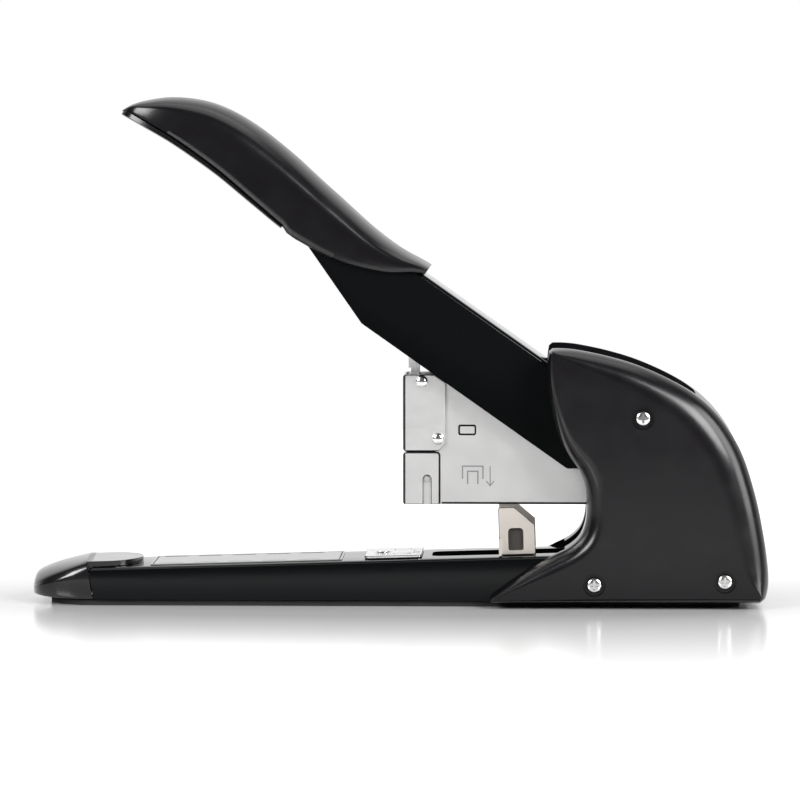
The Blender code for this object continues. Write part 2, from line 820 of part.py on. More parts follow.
GRIP_SCREWS = (-154.0, -140.0)
# Stations along the grip: x, top, bottom, half width
GRIP = (
    (-238.3, -4.6, -7.0, 9.0),
    (-236.6, -1.2, -6.9, 12.0),
    (-233.4, 2.8, -6.5, 14.2),
    (-226.5, 9.2, -5.8, 16.2),
    (-216.7, 15.0, -4.9, 17.4),
    (-206.3, 18.5, -4.6, 18.0),
    (-192.4, 19.9, -4.8, 18.4),
    (-175.7, 19.1, -6.1, 18.8),
    (-158.2, 16.9, -7.3, 19.2),
    (-149.8, 15.9, -6.8, 19.5),
    (-141.8, 14.9, -5.9, 19.7),
    (-132.8, 13.8, -3.8, 19.9),
    (-124.2, 13.3, -0.5, 20.0),
    (-116.5, 13.4, 3.4, 20.0),
    (-109.6, 14.2, 8.5, 20.0),
    (-105.0, 14.5, 10.9, 19.6),
)
INSERT_END = -158.2
INSERT_TIP = 2.4
INSERT_TAIL = 0.9


def insert_depth(x):
    """Height of the lower strip: thick at the tip, thin at its rear end."""
    share = (x - GRIP[0][0]) / (INSERT_END - GRIP[0][0])
    return INSERT_TIP + (INSERT_TAIL - INSERT_TIP) * min(max(share, 0.0), 1.0)


def shoulder_height(x, top, bottom):
    """Height of the rounding above the grip's side: low over the arm, taller towards the tip."""
    over_arm = 4.0
    growth = 0.14
    longest = 0.62
    return min(longest * (top - bottom), over_arm + growth * max(0.0, -140.0 - x))


def grip_ring(x, top, bottom, half):
    """A section of the grip: rounded shoulders above, almost square below."""
    height = top - bottom
    rise = shoulder_height(x, top, bottom)
    ring = [(x, -half * 0.92, bottom), (x, -half, bottom + height * 0.12)]
    for point in arc((0.0, 0.0), 1.0, 180.0, 90.0, 5):
        bulge = abs(point[0]) ** 0.8
        ring.append((x, -half * bulge, top - rise + rise * point[1] ** 0.85))
    ring += [(px, -py, pz) for px, py, pz in reversed(ring[:-1])]
    return ring


def grip_shell():
    rings = []
    hollow = []
    for x, top, bottom, half in GRIP:
        floor = bottom
        if x <= INSERT_END:
            floor = bottom + insert_depth(x) * min(1.0, (top - bottom) / 6) + GAP
        rings.append(grip_ring(x, top, floor, half))
        if -228.0 < x < -160.0:
            hollow.append(grip_ring(x, top - GRIP_WALL, bottom - 6.0, half - GRIP_WALL))
    pocket_half = ARM_HALF + GAP
    roof = ARM_TOP + GAP
    corners = [(-161.0, -60.0), (-60.0, -60.0), (-60.0, roof), (-161.0, roof)]
    pocket = upright(corners, -pocket_half, pocket_half)
    holes = [rod((x, 0, 0), (x, 0, 12.9), 1.8, 14) for x in GRIP_SCREWS]
    made = cut(loft(rings), loft(hollow), pocket, *holes)
    add_object("grip_shell", made, BLACK_PLASTIC, HANDLE)


def grip_insert():
    """The strip that closes the grip from below, in front of the arm."""
    rings = []
    for x, top, bottom, half in GRIP:
        if x > INSERT_END or x < GRIP[1][0]:
            continue
        ceiling = bottom + insert_depth(x) * min(1.0, (top - bottom) / 6)
        side = half * 0.94
        x_here = x - 0.5 if x == INSERT_END else x
        ring = [
            (x_here, -side * 0.9, bottom),
            (x_here, -side, bottom + 0.4),
            (x_here, -side, ceiling),
            (x_here, side, ceiling),
            (x_here, side, bottom + 0.4),
            (x_here, side * 0.9, bottom),
        ]
        rings.append(ring)
    add_object("grip_insert", loft(rings), MATTE_PLASTIC, HANDLE)


def grip_screws():
    under = ARM_TOP - ARM_SHEET - GAP
    for i, x in enumerate(GRIP_SCREWS, 1):
        profile = [(0.0, 12.6), (1.5, 12.0), (1.5, under), (2.8, under), (2.8, under - 1.0)]
        profile += [(1.6, under - 1.8), (0.0, under - 1.9)]
        turned(f"grip_screw_{i}", profile, ZINC, HANDLE, (x, 0.0, 0.0), (0, 0, 1), 14)


CAM_X = (-104.0, -84.0)
CAM_UNDER = -3.9


def press_cam():
    """A block under the arm's web that stays just above the plunger through the whole swing."""
    low = (CAM_X[0], -6.0, CAM_UNDER)
    high = (CAM_X[1], 6.0, ARM_TOP - ARM_SHEET - GAP)
    add_object("press_cam", block(low, high, bevel=1.2), STEEL, HANDLE)


def handle_spring():
    """A torsion spring on the pivot: one leg under the arm's web, one short leg behind."""
    radius = 5.4
    wire = 1.4
    turns = 5
    width = 11.0
    per_turn = 10
    points = [(-34.0, -width / 2, 7.0), (-18.0, -width / 2, 6.6), (-5.0, -width / 2, 5.7)]
    total = turns * per_turn
    for step in range(total + 1):
        angle = math.radians(90.0) + 2 * math.pi * step / per_turn
        y = -width / 2 + width * step / total
        points.append((-radius * math.cos(angle), y, radius * math.sin(angle)))
    points.append((-8.0, width / 2, 5.6))
    wire_object("handle_spring", points, wire, STEEL, HANDLE)


# Staple head


def housing_outline():
    return rounded(
        [
            (3.2, HEAD_BOTTOM),
            (127.5, HEAD_BOTTOM, 3.0),
            (127.5, 54.0, 6.0),
            (122.0, 59.5, 4.0),
            (113.0, 59.5, 4.0),
            (105.0, 51.2, 5.0),
            (73.0, 51.2, 3.0),
            (14.0, 89.7),
            (3.2, 89.7),
        ]
    )


SEAT_START = 90.0
RIVETS = ((9.1, 87.2), (15.5, 64.8))


def magazine_housing():
    """Folded sheet with a web on its top and most of its slope, and a spring seat under its rear end."""
    shell = upright(housing_outline(), -HEAD_HALF, HEAD_HALF)
    room = [
        (-5.0, 20.0),
        (SEAT_START, 20.0),
        (SEAT_START, HEAD_BOTTOM + HEAD_SHEET),
        (140.0, HEAD_BOTTOM + HEAD_SHEET),
        (140.0, 75.0),
        (58.5, 75.0),
        (58.5, 59.2),
        (13.4, 89.7 - HEAD_SHEET),
        (-5.0, 89.7 - HEAD_SHEET),
    ]
    inner = HEAD_HALF - HEAD_SHEET
    holes = [
        upright(room, -inner, inner),
        block((0.0, -4.5, 80.0), (8.6, 4.5, 100.0)),
        rod((HEAD_PIVOT[0], -30, HEAD_PIVOT[1]), (HEAD_PIVOT[0], 30, HEAD_PIVOT[1]), 3.2, 20),
    ]
    holes += [rod((x, -30, z), (x, 30, z), 1.5, 12) for x, z in RIVETS]
    tabs = []
    for side in (-1, 1):
        reach = HEAD_HALF + 0.5
        ends = sorted((side * (HEAD_HALF - 0.6), side * reach))
        tabs.append(block((23.8, ends[0], 66.4), (30.0, ends[1], 69.8)))
    made = join(cut(shell, *holes), *tabs)
    add_object("magazine_housing", made, NICKEL, HEAD)


def wrap(outline, cutters):
    """Sheet folded round the front of the head: a front wall and two sides."""
    shell = upright(outline, -WRAP_HALF, WRAP_HALF)
    shell = round_edges(shell, lambda v: v.x < NOSE_X + 0.01, 1.0, 2)
    inside = block((NOSE_X + WRAP_SHEET, -WRAP_INNER, 0.0), (60.0, WRAP_INNER, 120.0))
    return cut(shell, inside, *cutters)


def front_plate():
    outline = rounded(
        [
            (NOSE_X, 60.0),
            (15.6, 60.0, 1.0),
            (18.6, 62.8, 1.0),
            (18.6, 86.6),
            (13.9, 89.8),
            (NOSE_X, 89.8),
        ],
        steps=3,
    )
    holes = [rod((x, -30, z), (x, 30, z), 1.5, 12) for x, z in RIVETS]
    add_object("front_plate", wrap(outline, holes), NICKEL, HEAD)
    words = ("upper", "lower")
    for word, (x, z) in zip(words, RIVETS):
        for side_word, side in (("left", -1), ("right", 1)):
            skin = WRAP_HALF + 0.1
            profile = [(0.0, skin + 1.2), (1.2, skin + 1.05), (2.0, skin + 0.6), (2.37, skin), (1.2, skin)]
            profile += [(1.2, HEAD_HALF - 1.9), (0.0, HEAD_HALF - 1.9)]
            name = f"front_rivet_{word}_{side_word}"
            turned(name, profile, ZINC, HEAD, (x, 0.0, z), (0, side, 0), 16)


NOSE_PIN = (11.2, 49.0)
NOSE_SLOT_HALF = 1.5


def nose_block():
    """Front end of the magazine, with a slot in each side that ends round a small pin."""
    outline = rounded(
        [(NOSE_X, HEAD_BOTTOM), (15.9, HEAD_BOTTOM, 0.8), (15.9, 59.3, 1.2), (NOSE_X, 59.3)],
        steps=3,
    )
    x, z = NOSE_PIN
    slot = [(x - NOSE_SLOT_HALF, 30.0), (x + NOSE_SLOT_HALF, 30.0)]
    slot += arc((x, z), NOSE_SLOT_HALF, 0.0, 180.0, 10)
    add_object("nose_block", wrap(outline, [upright(slot, -30.0, 30.0)]), NICKEL, HEAD)
    for word, side in (("left", -1), ("right", 1)):
        ends = (side * (WRAP_INNER + 0.1), side * (WRAP_HALF + 0.3))
        pin = rod((x, ends[0], z), (x, ends[1], z), 1.2, 16)
        add_object(f"nose_pin_{word}", pin, ZINC, HEAD)


def magazine_rail():
    """An upward channel that the staples straddle, closed at both ends round the rod."""
    x_low, x_high = RAIL_ENDS
    shell = block((x_low, -RAIL_HALF, RAIL_BOTTOM), (x_high, RAIL_HALF, RAIL_TOP))
    inside = block((x_low + 1.0, -RAIL_HALF + 1.0, RAIL_BOTTOM + 1.0), (x_high - 1.0, RAIL_HALF - 1.0, 70.0))
    bore = rod((x_low - 5, 0, ROD_HEIGHT), (x_high + 5, 0, ROD_HEIGHT), 1.7, 14)
    add_object("magazine_rail", cut(shell, inside, bore), NICKEL, HEAD)
    guide = rod((x_low + 0.1, 0, ROD_HEIGHT), (x_high + 2.0, 0, ROD_HEIGHT), 1.4, 14)
    add_object("pusher_rod", guide, STEEL, HEAD)


PUSHER_X = (6.2, 22.0)


def staple_pusher():
    """A saddle on the rail with a lug that runs on the rod."""
    x_low, x_high = PUSHER_X
    saddle = block((x_low, -7.2, 42.5), (x_high, 7.2, 58.5), bevel=0.5)
    inside = block((x_low - 5, -RAIL_HALF - GAP, 30.0), (x_high + 5, RAIL_HALF + GAP, RAIL_TOP + GAP))
    lug = block((x_low, -3.9, 44.0), (x_high, 3.9, RAIL_TOP + 0.8))
    bore = rod((x_low - 5, 0, ROD_HEIGHT), (x_high + 5, 0, ROD_HEIGHT), 1.8, 14)
    add_object("staple_pusher", cut(join(cut(saddle, inside), lug), bore), STEEL, PUSHER)


def pusher_spring():
    length = RAIL_ENDS[1] - 1.0 - GAP - PUSHER_X[1] - GAP
    standing = coil((0.0, 0.0, 0.0), 2.6, 0.6, length, 10, 8)
    points = [(PUSHER_X[1] + GAP + z, y, ROD_HEIGHT + x) for x, y, z in standing]
    wire_object("pusher_spring", points, 0.6, STEEL, HEAD)


def plunger_post():
    """The post that the handle presses. Its head is wider than its shank."""
    outline = [(4.6, 80.0), (POST_X[1], 80.0), (POST_X[1], POST_TOP - 0.8), (POST_X[1] - 0.8, POST_TOP)]
    outline += [(POST_X[0] + 0.8, POST_TOP), (POST_X[0], POST_TOP - 0.8), (POST_X[0], 92.2), (4.6, 92.2)]
    bore = rod((0, 0, 85), (20, 0, 85), 1.3, 12)
    add_object("plunger_post", cut(upright(outline, -4.0, 4.0), bore), CHROME, PLUNGER)
    blade = block((3.2, -6.2, BLADE_TIP), (4.2, 6.2, 84.0))
    neck = block((3.2, -4.0, 83.0), (4.2, 4.0, 91.8))
    hole = rod((0, 0, 85), (20, 0, 85), 1.3, 12)
    add_object("driver_blade", cut(join(blade, neck), hole), STEEL, PLUNGER)
    profile = [(0.0, 9.6), (1.6, 9.4), (2.0, 8.9), (2.0, 8.3), (1.0, 8.3), (1.0, 3.25), (0.0, 3.25)]
    turned("blade_rivet", profile, ZINC, PLUNGER, (0.0, 0.0, 85.0), (1, 0, 0), 12)


SPRING_X = 101.0


def head_return_spring():
    """A coil that lifts the head, between the frame's web and the seat under the housing."""
    foot = plate_top(SPRING_X) + 2 * GAP + FRAME_SHEET + 0.15
    height = HEAD_BOTTOM - GAP - foot
    points = coil((SPRING_X, 0.0, foot), 4.6, 1.1, height, 5)
    wire_object("head_return_spring", points, 1.1, STEEL, BASE)


# Depth stop, drawn on the plate with X = 0 at its own middle


def depth_stop():
    """A U bracket: a web on the plate, two legs beside the head and two flanges for the paper's edge."""
    leg = rounded([(-6.9, 0.3), (7.3, 0.3, 0.8), (7.3, 11.8), (-0.6, 18.9), (-6.9, 18.9, 0.8)], steps=3)
    window = rounded([(-3.0, 2.3, 0.5), (2.5, 2.3, 0.5), (2.5, 10.4, 0.5), (-3.0, 10.4, 0.5)], steps=2)
    legs = []
    flanges = []
    for side in (-1, 1):
        ends = sorted((side * STOP_LEG_INNER, side * STOP_LEG_OUTER))
        legs.append(upright(leg, ends[0], ends[1], holes=[window]))
        wide = sorted((side * (STOP_LEG_INNER + 0.4), side * 21.0))
        flanges.append(block((-6.95, wide[0], 0.35), (-5.9, wide[1], 6.9)))
    web = block((-6.2, -STOP_LEG_INNER - 0.5, 0.35), (6.2, STOP_LEG_INNER + 0.5, 1.5))
    add_object("depth_stop", join(web, *legs, *flanges), WARM_NICKEL, STOP)


def stop_slider():
    """The plastic saddle inside the bracket, with a cheek behind each window."""
    outer = STOP_LEG_INNER - GAP
    cheek_inner = 12.6
    top = 11.6
    solid = block((-4.4, -outer, 1.8), (4.4, outer, top), bevel=0.4)
    room = block((-10.0, -cheek_inner, 3.6), (10.0, cheek_inner, top + 5))
    add_object("stop_slider", cut(solid, room), MATTE_PLASTIC, STOP)


def stop_shoe():
    """The T-shaped key that runs in the slot and holds the stop down from below."""
    neck = block((-5.0, -SLOT_HALF + GAP, -3.0), (5.0, SLOT_HALF - GAP, 0.0))
    flange = block((-6.0, -14.0, -BASE_SHEET - GAP - 1.6), (6.0, 14.0, -BASE_SHEET - GAP))
    add_object("stop_shoe", join(neck, flange), MATTE_PLASTIC, STOP)


base_channel()
rubber_pad()
nose_cap()
anvil_plate()
scale_label()
rear_frame()
pins_and_spacers()
covers()
cover_screws()
handle_arm()
grip_shell()
grip_insert()
grip_screws()
press_cam()
handle_spring()
magazine_housing()
front_plate()
nose_block()
magazine_rail()
staple_pusher()
pusher_spring()
plunger_post()
head_return_spring()
depth_stop()
stop_slider()
stop_shoe()
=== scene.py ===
"""Looks for the lever stapler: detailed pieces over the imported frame, materials, floor and light.

Drawing lengths are millimetres and meshes are stored in metres, in the frame's own axes.
"""

import json
import math

import bmesh
import bpy
from mathutils import Matrix, Vector

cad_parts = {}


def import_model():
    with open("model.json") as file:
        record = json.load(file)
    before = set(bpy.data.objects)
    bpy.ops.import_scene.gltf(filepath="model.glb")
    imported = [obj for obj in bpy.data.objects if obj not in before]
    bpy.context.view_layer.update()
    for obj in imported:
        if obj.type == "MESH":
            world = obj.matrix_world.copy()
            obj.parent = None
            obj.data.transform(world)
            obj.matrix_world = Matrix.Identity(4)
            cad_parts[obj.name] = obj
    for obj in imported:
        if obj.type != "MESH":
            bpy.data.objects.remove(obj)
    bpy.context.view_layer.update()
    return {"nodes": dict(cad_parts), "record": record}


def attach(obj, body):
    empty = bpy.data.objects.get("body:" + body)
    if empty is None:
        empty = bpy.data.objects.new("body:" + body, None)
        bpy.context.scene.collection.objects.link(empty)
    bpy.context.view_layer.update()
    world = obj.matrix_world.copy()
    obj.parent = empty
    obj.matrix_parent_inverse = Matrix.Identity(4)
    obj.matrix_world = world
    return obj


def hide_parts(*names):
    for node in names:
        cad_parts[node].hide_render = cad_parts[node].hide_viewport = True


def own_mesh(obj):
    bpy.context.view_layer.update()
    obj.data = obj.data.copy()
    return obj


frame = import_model()
NODES = frame["nodes"]

MM = 0.001
# Clearance between neighbouring parts
GAP = 0.3

# Pivots and the handle's raised tilt
HANDLE_PIVOT = (90.0, 60.0)
HEAD_PIVOT = (118.0, 50.0)
HANDLE_TILT = math.radians(35.2)

# Base: the channel, its sloping plate, the stop's slot, the toe and the anvil
BASE_HALF = 23.0
BASE_FRONT = -118.6
BASE_REAR = 136.0
BASE_BOTTOM = 2.4
BASE_SHEET = 1.5
PLATE_HEIGHT = 18.16
PLATE_SLOPE = math.radians(1.672)
SLOT_HALF = 10.0
SLOT_ENDS = (13.0, 68.0)
FRONT_LEAN = 2.6
NOSE_REACH = 22.39
TONGUE_HALF = 19.0
ANVIL_RIVET = -6.5
FRAME_HALF = 20.2
FRAME_SHEET = 1.4
SPRING_X = 101.0

# Covers and their mouth for the handle, arm and head
COVER_HALF = 33.0
COVER_REAR = 144.0
COVER_CROWN = 9.0
COVER_WALL = 2.2
COVER_SEAM = 0.03
MOUTH_HALF = 22.5
ARM_MOUTH_HALF = 19.0
THROAT_HALF = 12.3
SCREWS = ((95.1, 74.2), (76.4, 9.5), (126.9, 10.9))
SIDES = (("left", -1), ("right", 1))

# Handle
ARM_HALF = 17.5
ARM_SHEET = 1.5
ARM_TOP = 10.3
ARM_BOTTOM = -19.15
GRIP_WALL = 2.4

# Staple head, its grooves and the sheets wrapped round its front
HEAD_FRONT = 3.2
HEAD_BOTTOM = 39.1
HEAD_TOP = 89.7
HEAD_HALF = 10.9
HEAD_SHEET = 1.2
GROOVE = 0.6
WRAP_HALF = 12.1
WRAP_INNER = HEAD_HALF + GAP
WRAP_SHEET = 1.2
NOSE_X = 1.7

# Pusher's rear face, the end of its spring, and the rod's height
PUSHER_REAR = 22.0
RAIL_REAR = 84.0
ROD_HEIGHT = 49.0

# Plunger
POST_X = (3.7, 8.0)
POST_TOP = 112.0
BLADE_HOLE = (85.0, 1.3)

# Depth stop
STOP_X = 46.4
STOP_LEG_OUTER = 16.2
STOP_LEG_INNER = 15.0

# Brightness of the room to the sides and above, and behind the camera
ROOM_LEVEL = 0.08
FRONT_LEVEL = 0.09

# In metres: the floor's left, right, front and back edges, the camera's place and aim,
# and what the lights aim at
FLOOR_EDGES = (-1.1, 1.1, -0.6, 1.0)
CAMERA_AT = (0.059, -1.9, 0.1968)
CAMERA_AIM = (0.0002, 0.0, 0.0792)
CENTRE = (0.02, 0.0, 0.08)
# Each soft light's name, place and size in metres, and power in watts
LIGHTS = (
    ("top", (0.0, 0.1, 1.3), (1.4, 0.8), 5.0),
    ("front_left", (-0.95, -1.0, 0.75), (0.55, 0.7), 18.0),
    ("front_right", (0.95, -1.0, 0.75), (0.55, 0.7), 18.0),
    ("side_right", (1.15, -0.4, 0.55), (0.5, 0.9), 10.0),
)


def plate_top(x):
    """Height of the sloping plate at x."""
    return PLATE_HEIGHT + x * math.tan(PLATE_SLOPE)


def placed(x, z, turn):
    """The matrix of a drawing frame whose origin is at (x, z), turned about Y."""
    return Matrix.Translation((x * MM, 0.0, z * MM)) @ Matrix.Rotation(turn, 4, "Y")


WORLD = Matrix.Identity(4)
HANDLE = placed(*HANDLE_PIVOT, HANDLE_TILT)
PLATE = placed(0.0, PLATE_HEIGHT, -PLATE_SLOPE)
STOP = placed(STOP_X, plate_top(STOP_X), -PLATE_SLOPE)


# Materials


def assign(target, **settings):
    """Sets several attributes of the target and returns it."""
    for key, value in settings.items():
        setattr(target, key, value)
    return target


class Nodes:
    """A node tree, built by short calls."""

    def __init__(self, tree):
        self.tree = tree

    def node(self, kind, **settings):
        return assign(self.tree.nodes.new(kind), **settings)

    def link(self, output, socket):
        self.tree.links.new(output, socket)

    def ranged(self, value, low, high, start=0.35, end=0.65, **settings):
        """The value moved from the range start to end into the range low to high."""
        mapped = self.node("ShaderNodeMapRange", **settings)
        mapped.inputs["From Min"].default_value = start
        mapped.inputs["From Max"].default_value = end
        mapped.inputs["To Min"].default_value = low
        mapped.inputs["To Max"].default_value = high
        self.link(value, mapped.inputs["Value"])
        return mapped.outputs["Result"]

    def math(self, operation, first, second):
        made = self.node("ShaderNodeMath", operation=operation)
        self.link(first, made.inputs[0])
        self.link(second, made.inputs[1])
        return made.outputs[0]


class Graph(Nodes):
    """A material's nodes, placed by the object's own coordinates."""

    def __init__(self, name):
        self.material = bpy.data.materials.new(name)
        self.material.use_nodes = True
        super().__init__(self.material.node_tree)
        self.shader = self.tree.nodes["Principled BSDF"]
        self.place = self.node("ShaderNodeTexCoord").outputs["Object"]

    def feed(self, output, name):
        self.link(output, self.shader.inputs[name])

    def stretched(self, scale):
        mapping = self.node("ShaderNodeMapping")
        mapping.inputs["Scale"].default_value = scale
        self.link(self.place, mapping.inputs["Vector"])
        return mapping.outputs["Vector"]

    def noise(self, scale, detail=3.0, stretch=(1.0, 1.0, 1.0)):
        texture = self.node("ShaderNodeTexNoise")
        texture.inputs["Scale"].default_value = scale
        texture.inputs["Detail"].default_value = detail
        self.link(self.stretched(stretch), texture.inputs["Vector"])
        return texture.outputs["Fac"]

    def mixed(self, factor, first, second):
        """Two colours mixed, each a tuple or a node's output."""
        mix = self.node("ShaderNodeMix", data_type="RGBA")
        self.link(factor, mix.inputs[0])
        for socket, colour in ((mix.inputs[6], first), (mix.inputs[7], second)):
            if isinstance(colour, tuple):
                socket.default_value = (*colour, 1.0)
            else:
                self.link(colour, socket)
        return mix.outputs[2]

    def clouded(self, colour, scale, detail, uneven):
        """A colour that drifts darker and lighter in soft patches."""
        patch = self.ranged(self.noise(scale, detail), 0.0, 1.0)
        return self.mixed(patch, shade(colour, 1.0 - uneven), shade(colour, 1.0 + uneven))

    def bump(self, height, strength, distance):
        made = self.node("ShaderNodeBump")
        made.inputs["Strength"].default_value = strength
        made.inputs["Distance"].default_value = distance
        self.link(height, made.inputs["Height"])
        return made.outputs["Normal"]

    def set(self, **values):
        """Sets the shader's own sockets, with _ for each space in a name."""
        for key, value in values.items():
            self.shader.inputs[key.replace("_", " ")].default_value = value


def shade(colour, factor):
    """A colour made darker or lighter, up to 1."""
    return tuple(min(part * factor, 1.0) for part in colour)


def surface(name, colour, rough, metal, specular, grain, relief, wear=0.0):
    """Moulded or painted stuff: blotched colour and gloss, fine grain, and edges rubbed by wear."""
    g = Graph(name)
    g.set(Metallic=metal, Specular_IOR_Level=specular)
    tone = g.clouded(colour, scale=28.0, detail=3.0, uneven=0.06)
    gloss = g.ranged(g.noise(scale=90.0, detail=5.0), low=rough * 0.88, high=rough * 1.14)
    if wear:
        edge = g.node("ShaderNodeNewGeometry").outputs["Pointiness"]
        rubbed = g.ranged(edge, low=0.0, high=wear, start=0.52, end=0.58)
        tone = g.mixed(rubbed, tone, shade(colour, 4.0))
    g.feed(tone, "Base Color")
    g.feed(gloss, "Roughness")
    g.feed(g.bump(g.noise(grain, detail=2.0), relief, distance=0.00005), "Normal")
    return g.material


def plated(name, colour, rough, brush, relief):
    """Plated metal: brush stretches the fine lines, and a faint cloud changes tone and gloss."""
    g = Graph(name)
    g.set(Metallic=1.0)
    lines = g.noise(scale=2600.0, detail=3.0, stretch=brush)
    drift = 0.02
    fine = g.ranged(lines, rough - drift, rough + drift)
    broad = g.ranged(g.noise(scale=120.0, detail=5.0), -drift, drift)
    g.feed(g.clouded(colour, scale=45.0, detail=4.0, uneven=0.03), "Base Color")
    g.feed(g.math("ADD", fine, broad), "Roughness")
    g.feed(g.bump(lines, relief, distance=0.00001), "Normal")
    return g.material


COVER_TONE = (0.0044, 0.0038, 0.0048)
# Moulded, painted and printed looks: colour, roughness, metallic, specular level, the grain's
# scale and relief, and for paint how far its edges are rubbed
MOULDED = {
    "cover_plastic": (COVER_TONE, 0.23, 0.0, 0.44, 3000.0, 0.02),
    "grip_plastic": (COVER_TONE, 0.22, 0.0, 0.48, 3000.0, 0.02),
    "cap_plastic": (COVER_TONE, 0.2, 0.0, 0.4, 3000.0, 0.01),
    "matte_plastic": ((0.012, 0.0112, 0.0122), 0.45, 0.0, 0.4, 2200.0, 0.15),
    "stop_plastic": ((0.04, 0.036, 0.032), 0.4, 0.0, 0.4, 1800.0, 0.1),
    "black_paint": ((0.0020, 0.0024, 0.0026), 0.07, 0.0, 0.22, 900.0, 0.01, 0.2),
    "rubber": ((0.022, 0.021, 0.022), 0.8, 0.0, 0.25, 1500.0, 0.4),
    # Painted shade: a near-black look for rims, cut edges and groove walls, where shade falls
    "painted_shade_edge": ((0.015, 0.014, 0.014), 0.5, 0.4, 0.3, 2200.0, 0.05),
    "label": ((0.16, 0.16, 0.16), 0.07, 0.0, 0.5, 1200.0, 0.01),
    "ink": ((0.01, 0.01, 0.01), 0.7, 0.0, 0.2, 1200.0, 0.02),
}
# How the fine lines are scaled along X, Y and Z: a small number draws them out that way
ALONG_X = (0.08, 1.0, 1.0)
ALONG_Y = (1.0, 0.1, 1.0)
ALONG_Z = (1.0, 1.0, 0.1)
EVEN = (1.0, 1.0, 1.0)
# Metals: colour, roughness, the fine lines' direction and relief
PLATED = {
    "nickel": ((0.76, 0.755, 0.75), 0.42, ALONG_X, 0.01),
    # Painted shade: a near-black metal for the front sheets' bends, where shade falls
    "painted_shade_bend": ((0.06, 0.06, 0.06), 0.3, ALONG_Z, 0.01),
    "etched": ((0.30, 0.30, 0.31), 0.5, EVEN, 0.02),
    "warm_nickel": ((0.80, 0.745, 0.69), 0.42, ALONG_Z, 0.02),
    "zinc": ((0.88, 0.88, 0.87), 0.2, EVEN, 0.03),
    "chrome": ((0.84, 0.84, 0.85), 0.2, ALONG_Y, 0.02),
    "drawn": ((0.86, 0.86, 0.86), 0.42, ALONG_Z, 0.02),
    "steel": ((0.42, 0.42, 0.43), 0.36, ALONG_Z, 0.08),
}
LOOKS = {name: surface(name, *row) for name, row in MOULDED.items()}
LOOKS.update({name: plated(name, *row) for name, row in PLATED.items()})
# The toe has a thin clear gloss over its plastic
toe_shader = LOOKS["cap_plastic"].node_tree.nodes["Principled BSDF"]
toe_shader.inputs["Coat Weight"].default_value = 0.6
toe_shader.inputs["Coat Roughness"].default_value = 0.08


# Meshes, drawn in millimetres


def linked(name, data):
    """A new object in the scene."""
    obj = bpy.data.objects.new(name, data)
    bpy.context.scene.collection.objects.link(obj)
    return obj


def finished_mesh(obj, *others):
    """The mesh that an object evaluates to. The object and the others are removed."""
    graph = bpy.context.evaluated_depsgraph_get()
    mesh = bpy.data.meshes.new_from_object(obj.evaluated_get(graph))
    for gone in (obj, *others):
        bpy.data.objects.remove(gone, do_unlink=True)
    return mesh


def to_mesh(bm):
    """A smooth mesh in metres from a bmesh in millimetres."""
    bmesh.ops.recalc_face_normals(bm, faces=bm.faces)
    bmesh.ops.scale(bm, vec=(MM, MM, MM), verts=bm.verts)
    mesh = bpy.data.meshes.new("piece")
    bm.to_mesh(mesh)
    bm.free()
    mesh.shade_smooth()
    return mesh


def block(low, high, bevel=0.0):
    """A box between two corners, with its edges rounded if bevel is above 0."""
    bm = bmesh.new()
    size = Vector(high) - Vector(low)
    middle = (Vector(high) + Vector(low)) / 2
    place = Matrix.Translation(middle) @ Matrix.Diagonal((*size, 1.0))
    bmesh.ops.create_cube(bm, size=1.0, matrix=place)
    if bevel:
        bmesh.ops.bevel(bm, geom=list(bm.edges), offset=bevel, segments=3, affect="EDGES")
    return to_mesh(bm)


def rod(start, end, radius, sides=40):
    """A round bar between two points."""
    along = Vector(end) - Vector(start)
    turn = along.to_track_quat("Z", "Y").to_matrix().to_4x4()
    middle = Matrix.Translation((Vector(start) + Vector(end)) / 2)
    bm = bmesh.new()
    shape = {"radius1": radius, "radius2": radius, "depth": along.length, "segments": sides}
    bmesh.ops.create_cone(bm, cap_ends=True, matrix=middle @ turn, **shape)
    return to_mesh(bm)


def rounded(corners, steps=8):
    """An outline from corners (x, z) or (x, z, radius): a radius turns the corner into an arc."""
    points = []
    count = len(corners)
    for i, corner in enumerate(corners):
        here = Vector(corner[:2])
        if len(corner) < 3:
            points.append(here)
            continue
        back = (Vector(corners[i - 1][:2]) - here).normalized()
        ahead = (Vector(corners[(i + 1) % count][:2]) - here).normalized()
        half = back.angle(ahead) / 2
        reach = corner[2] / math.tan(half)
        centre = here + (back + ahead).normalized() * corner[2] / math.sin(half)
        first = here + back * reach - centre
        last = here + ahead * reach - centre
        turn = first.angle_signed(last)
        for step in range(steps + 1):
            points.append(centre + Matrix.Rotation(-turn * step / steps, 2) @ first)
    return [(p.x, p.y) for p in points]


def arc(centre, radius, start_deg, end_deg, steps):
    """Points along part of a circle, ends included."""
    points = []
    for step in range(steps + 1):
        angle = math.radians(start_deg + (end_deg - start_deg) * step / steps)
        points.append((centre[0] + radius * math.cos(angle), centre[1] + radius * math.sin(angle)))
    return points


def oblong(x_low, x_high, z_low, z_high, *radius):
    """The corners of an upright rectangle, each with the radius if one is given."""
    corners = ((x_low, z_low), (x_high, z_low), (x_high, z_high), (x_low, z_high))
    return [(x, z, *radius) for x, z in corners]


def rectangle(x_low, x_high, half, corner):
    """A rectangle about the middle line, with rounded corners."""
    return rounded(oblong(x_low, x_high, -half, half, corner))


def between(side, inner, outer):
    """Two Y values on the left (-1) or right (1) side, in rising order."""
    return sorted((side * inner, side * outer))


def curve_mesh(lines, cyclic, **settings):
    """The mesh of a curve whose splines run through lines of points."""
    curve = assign(bpy.data.curves.new("lines", "CURVE"), **settings)
    for line in lines:
        spline = curve.splines.new("POLY")
        spline.points.add(len(line) - 1)
        for point, place in zip(spline.points, line):
            point.co = (*place, 1.0)
        spline.use_cyclic_u = cyclic
    return finished_mesh(linked("guide", curve))


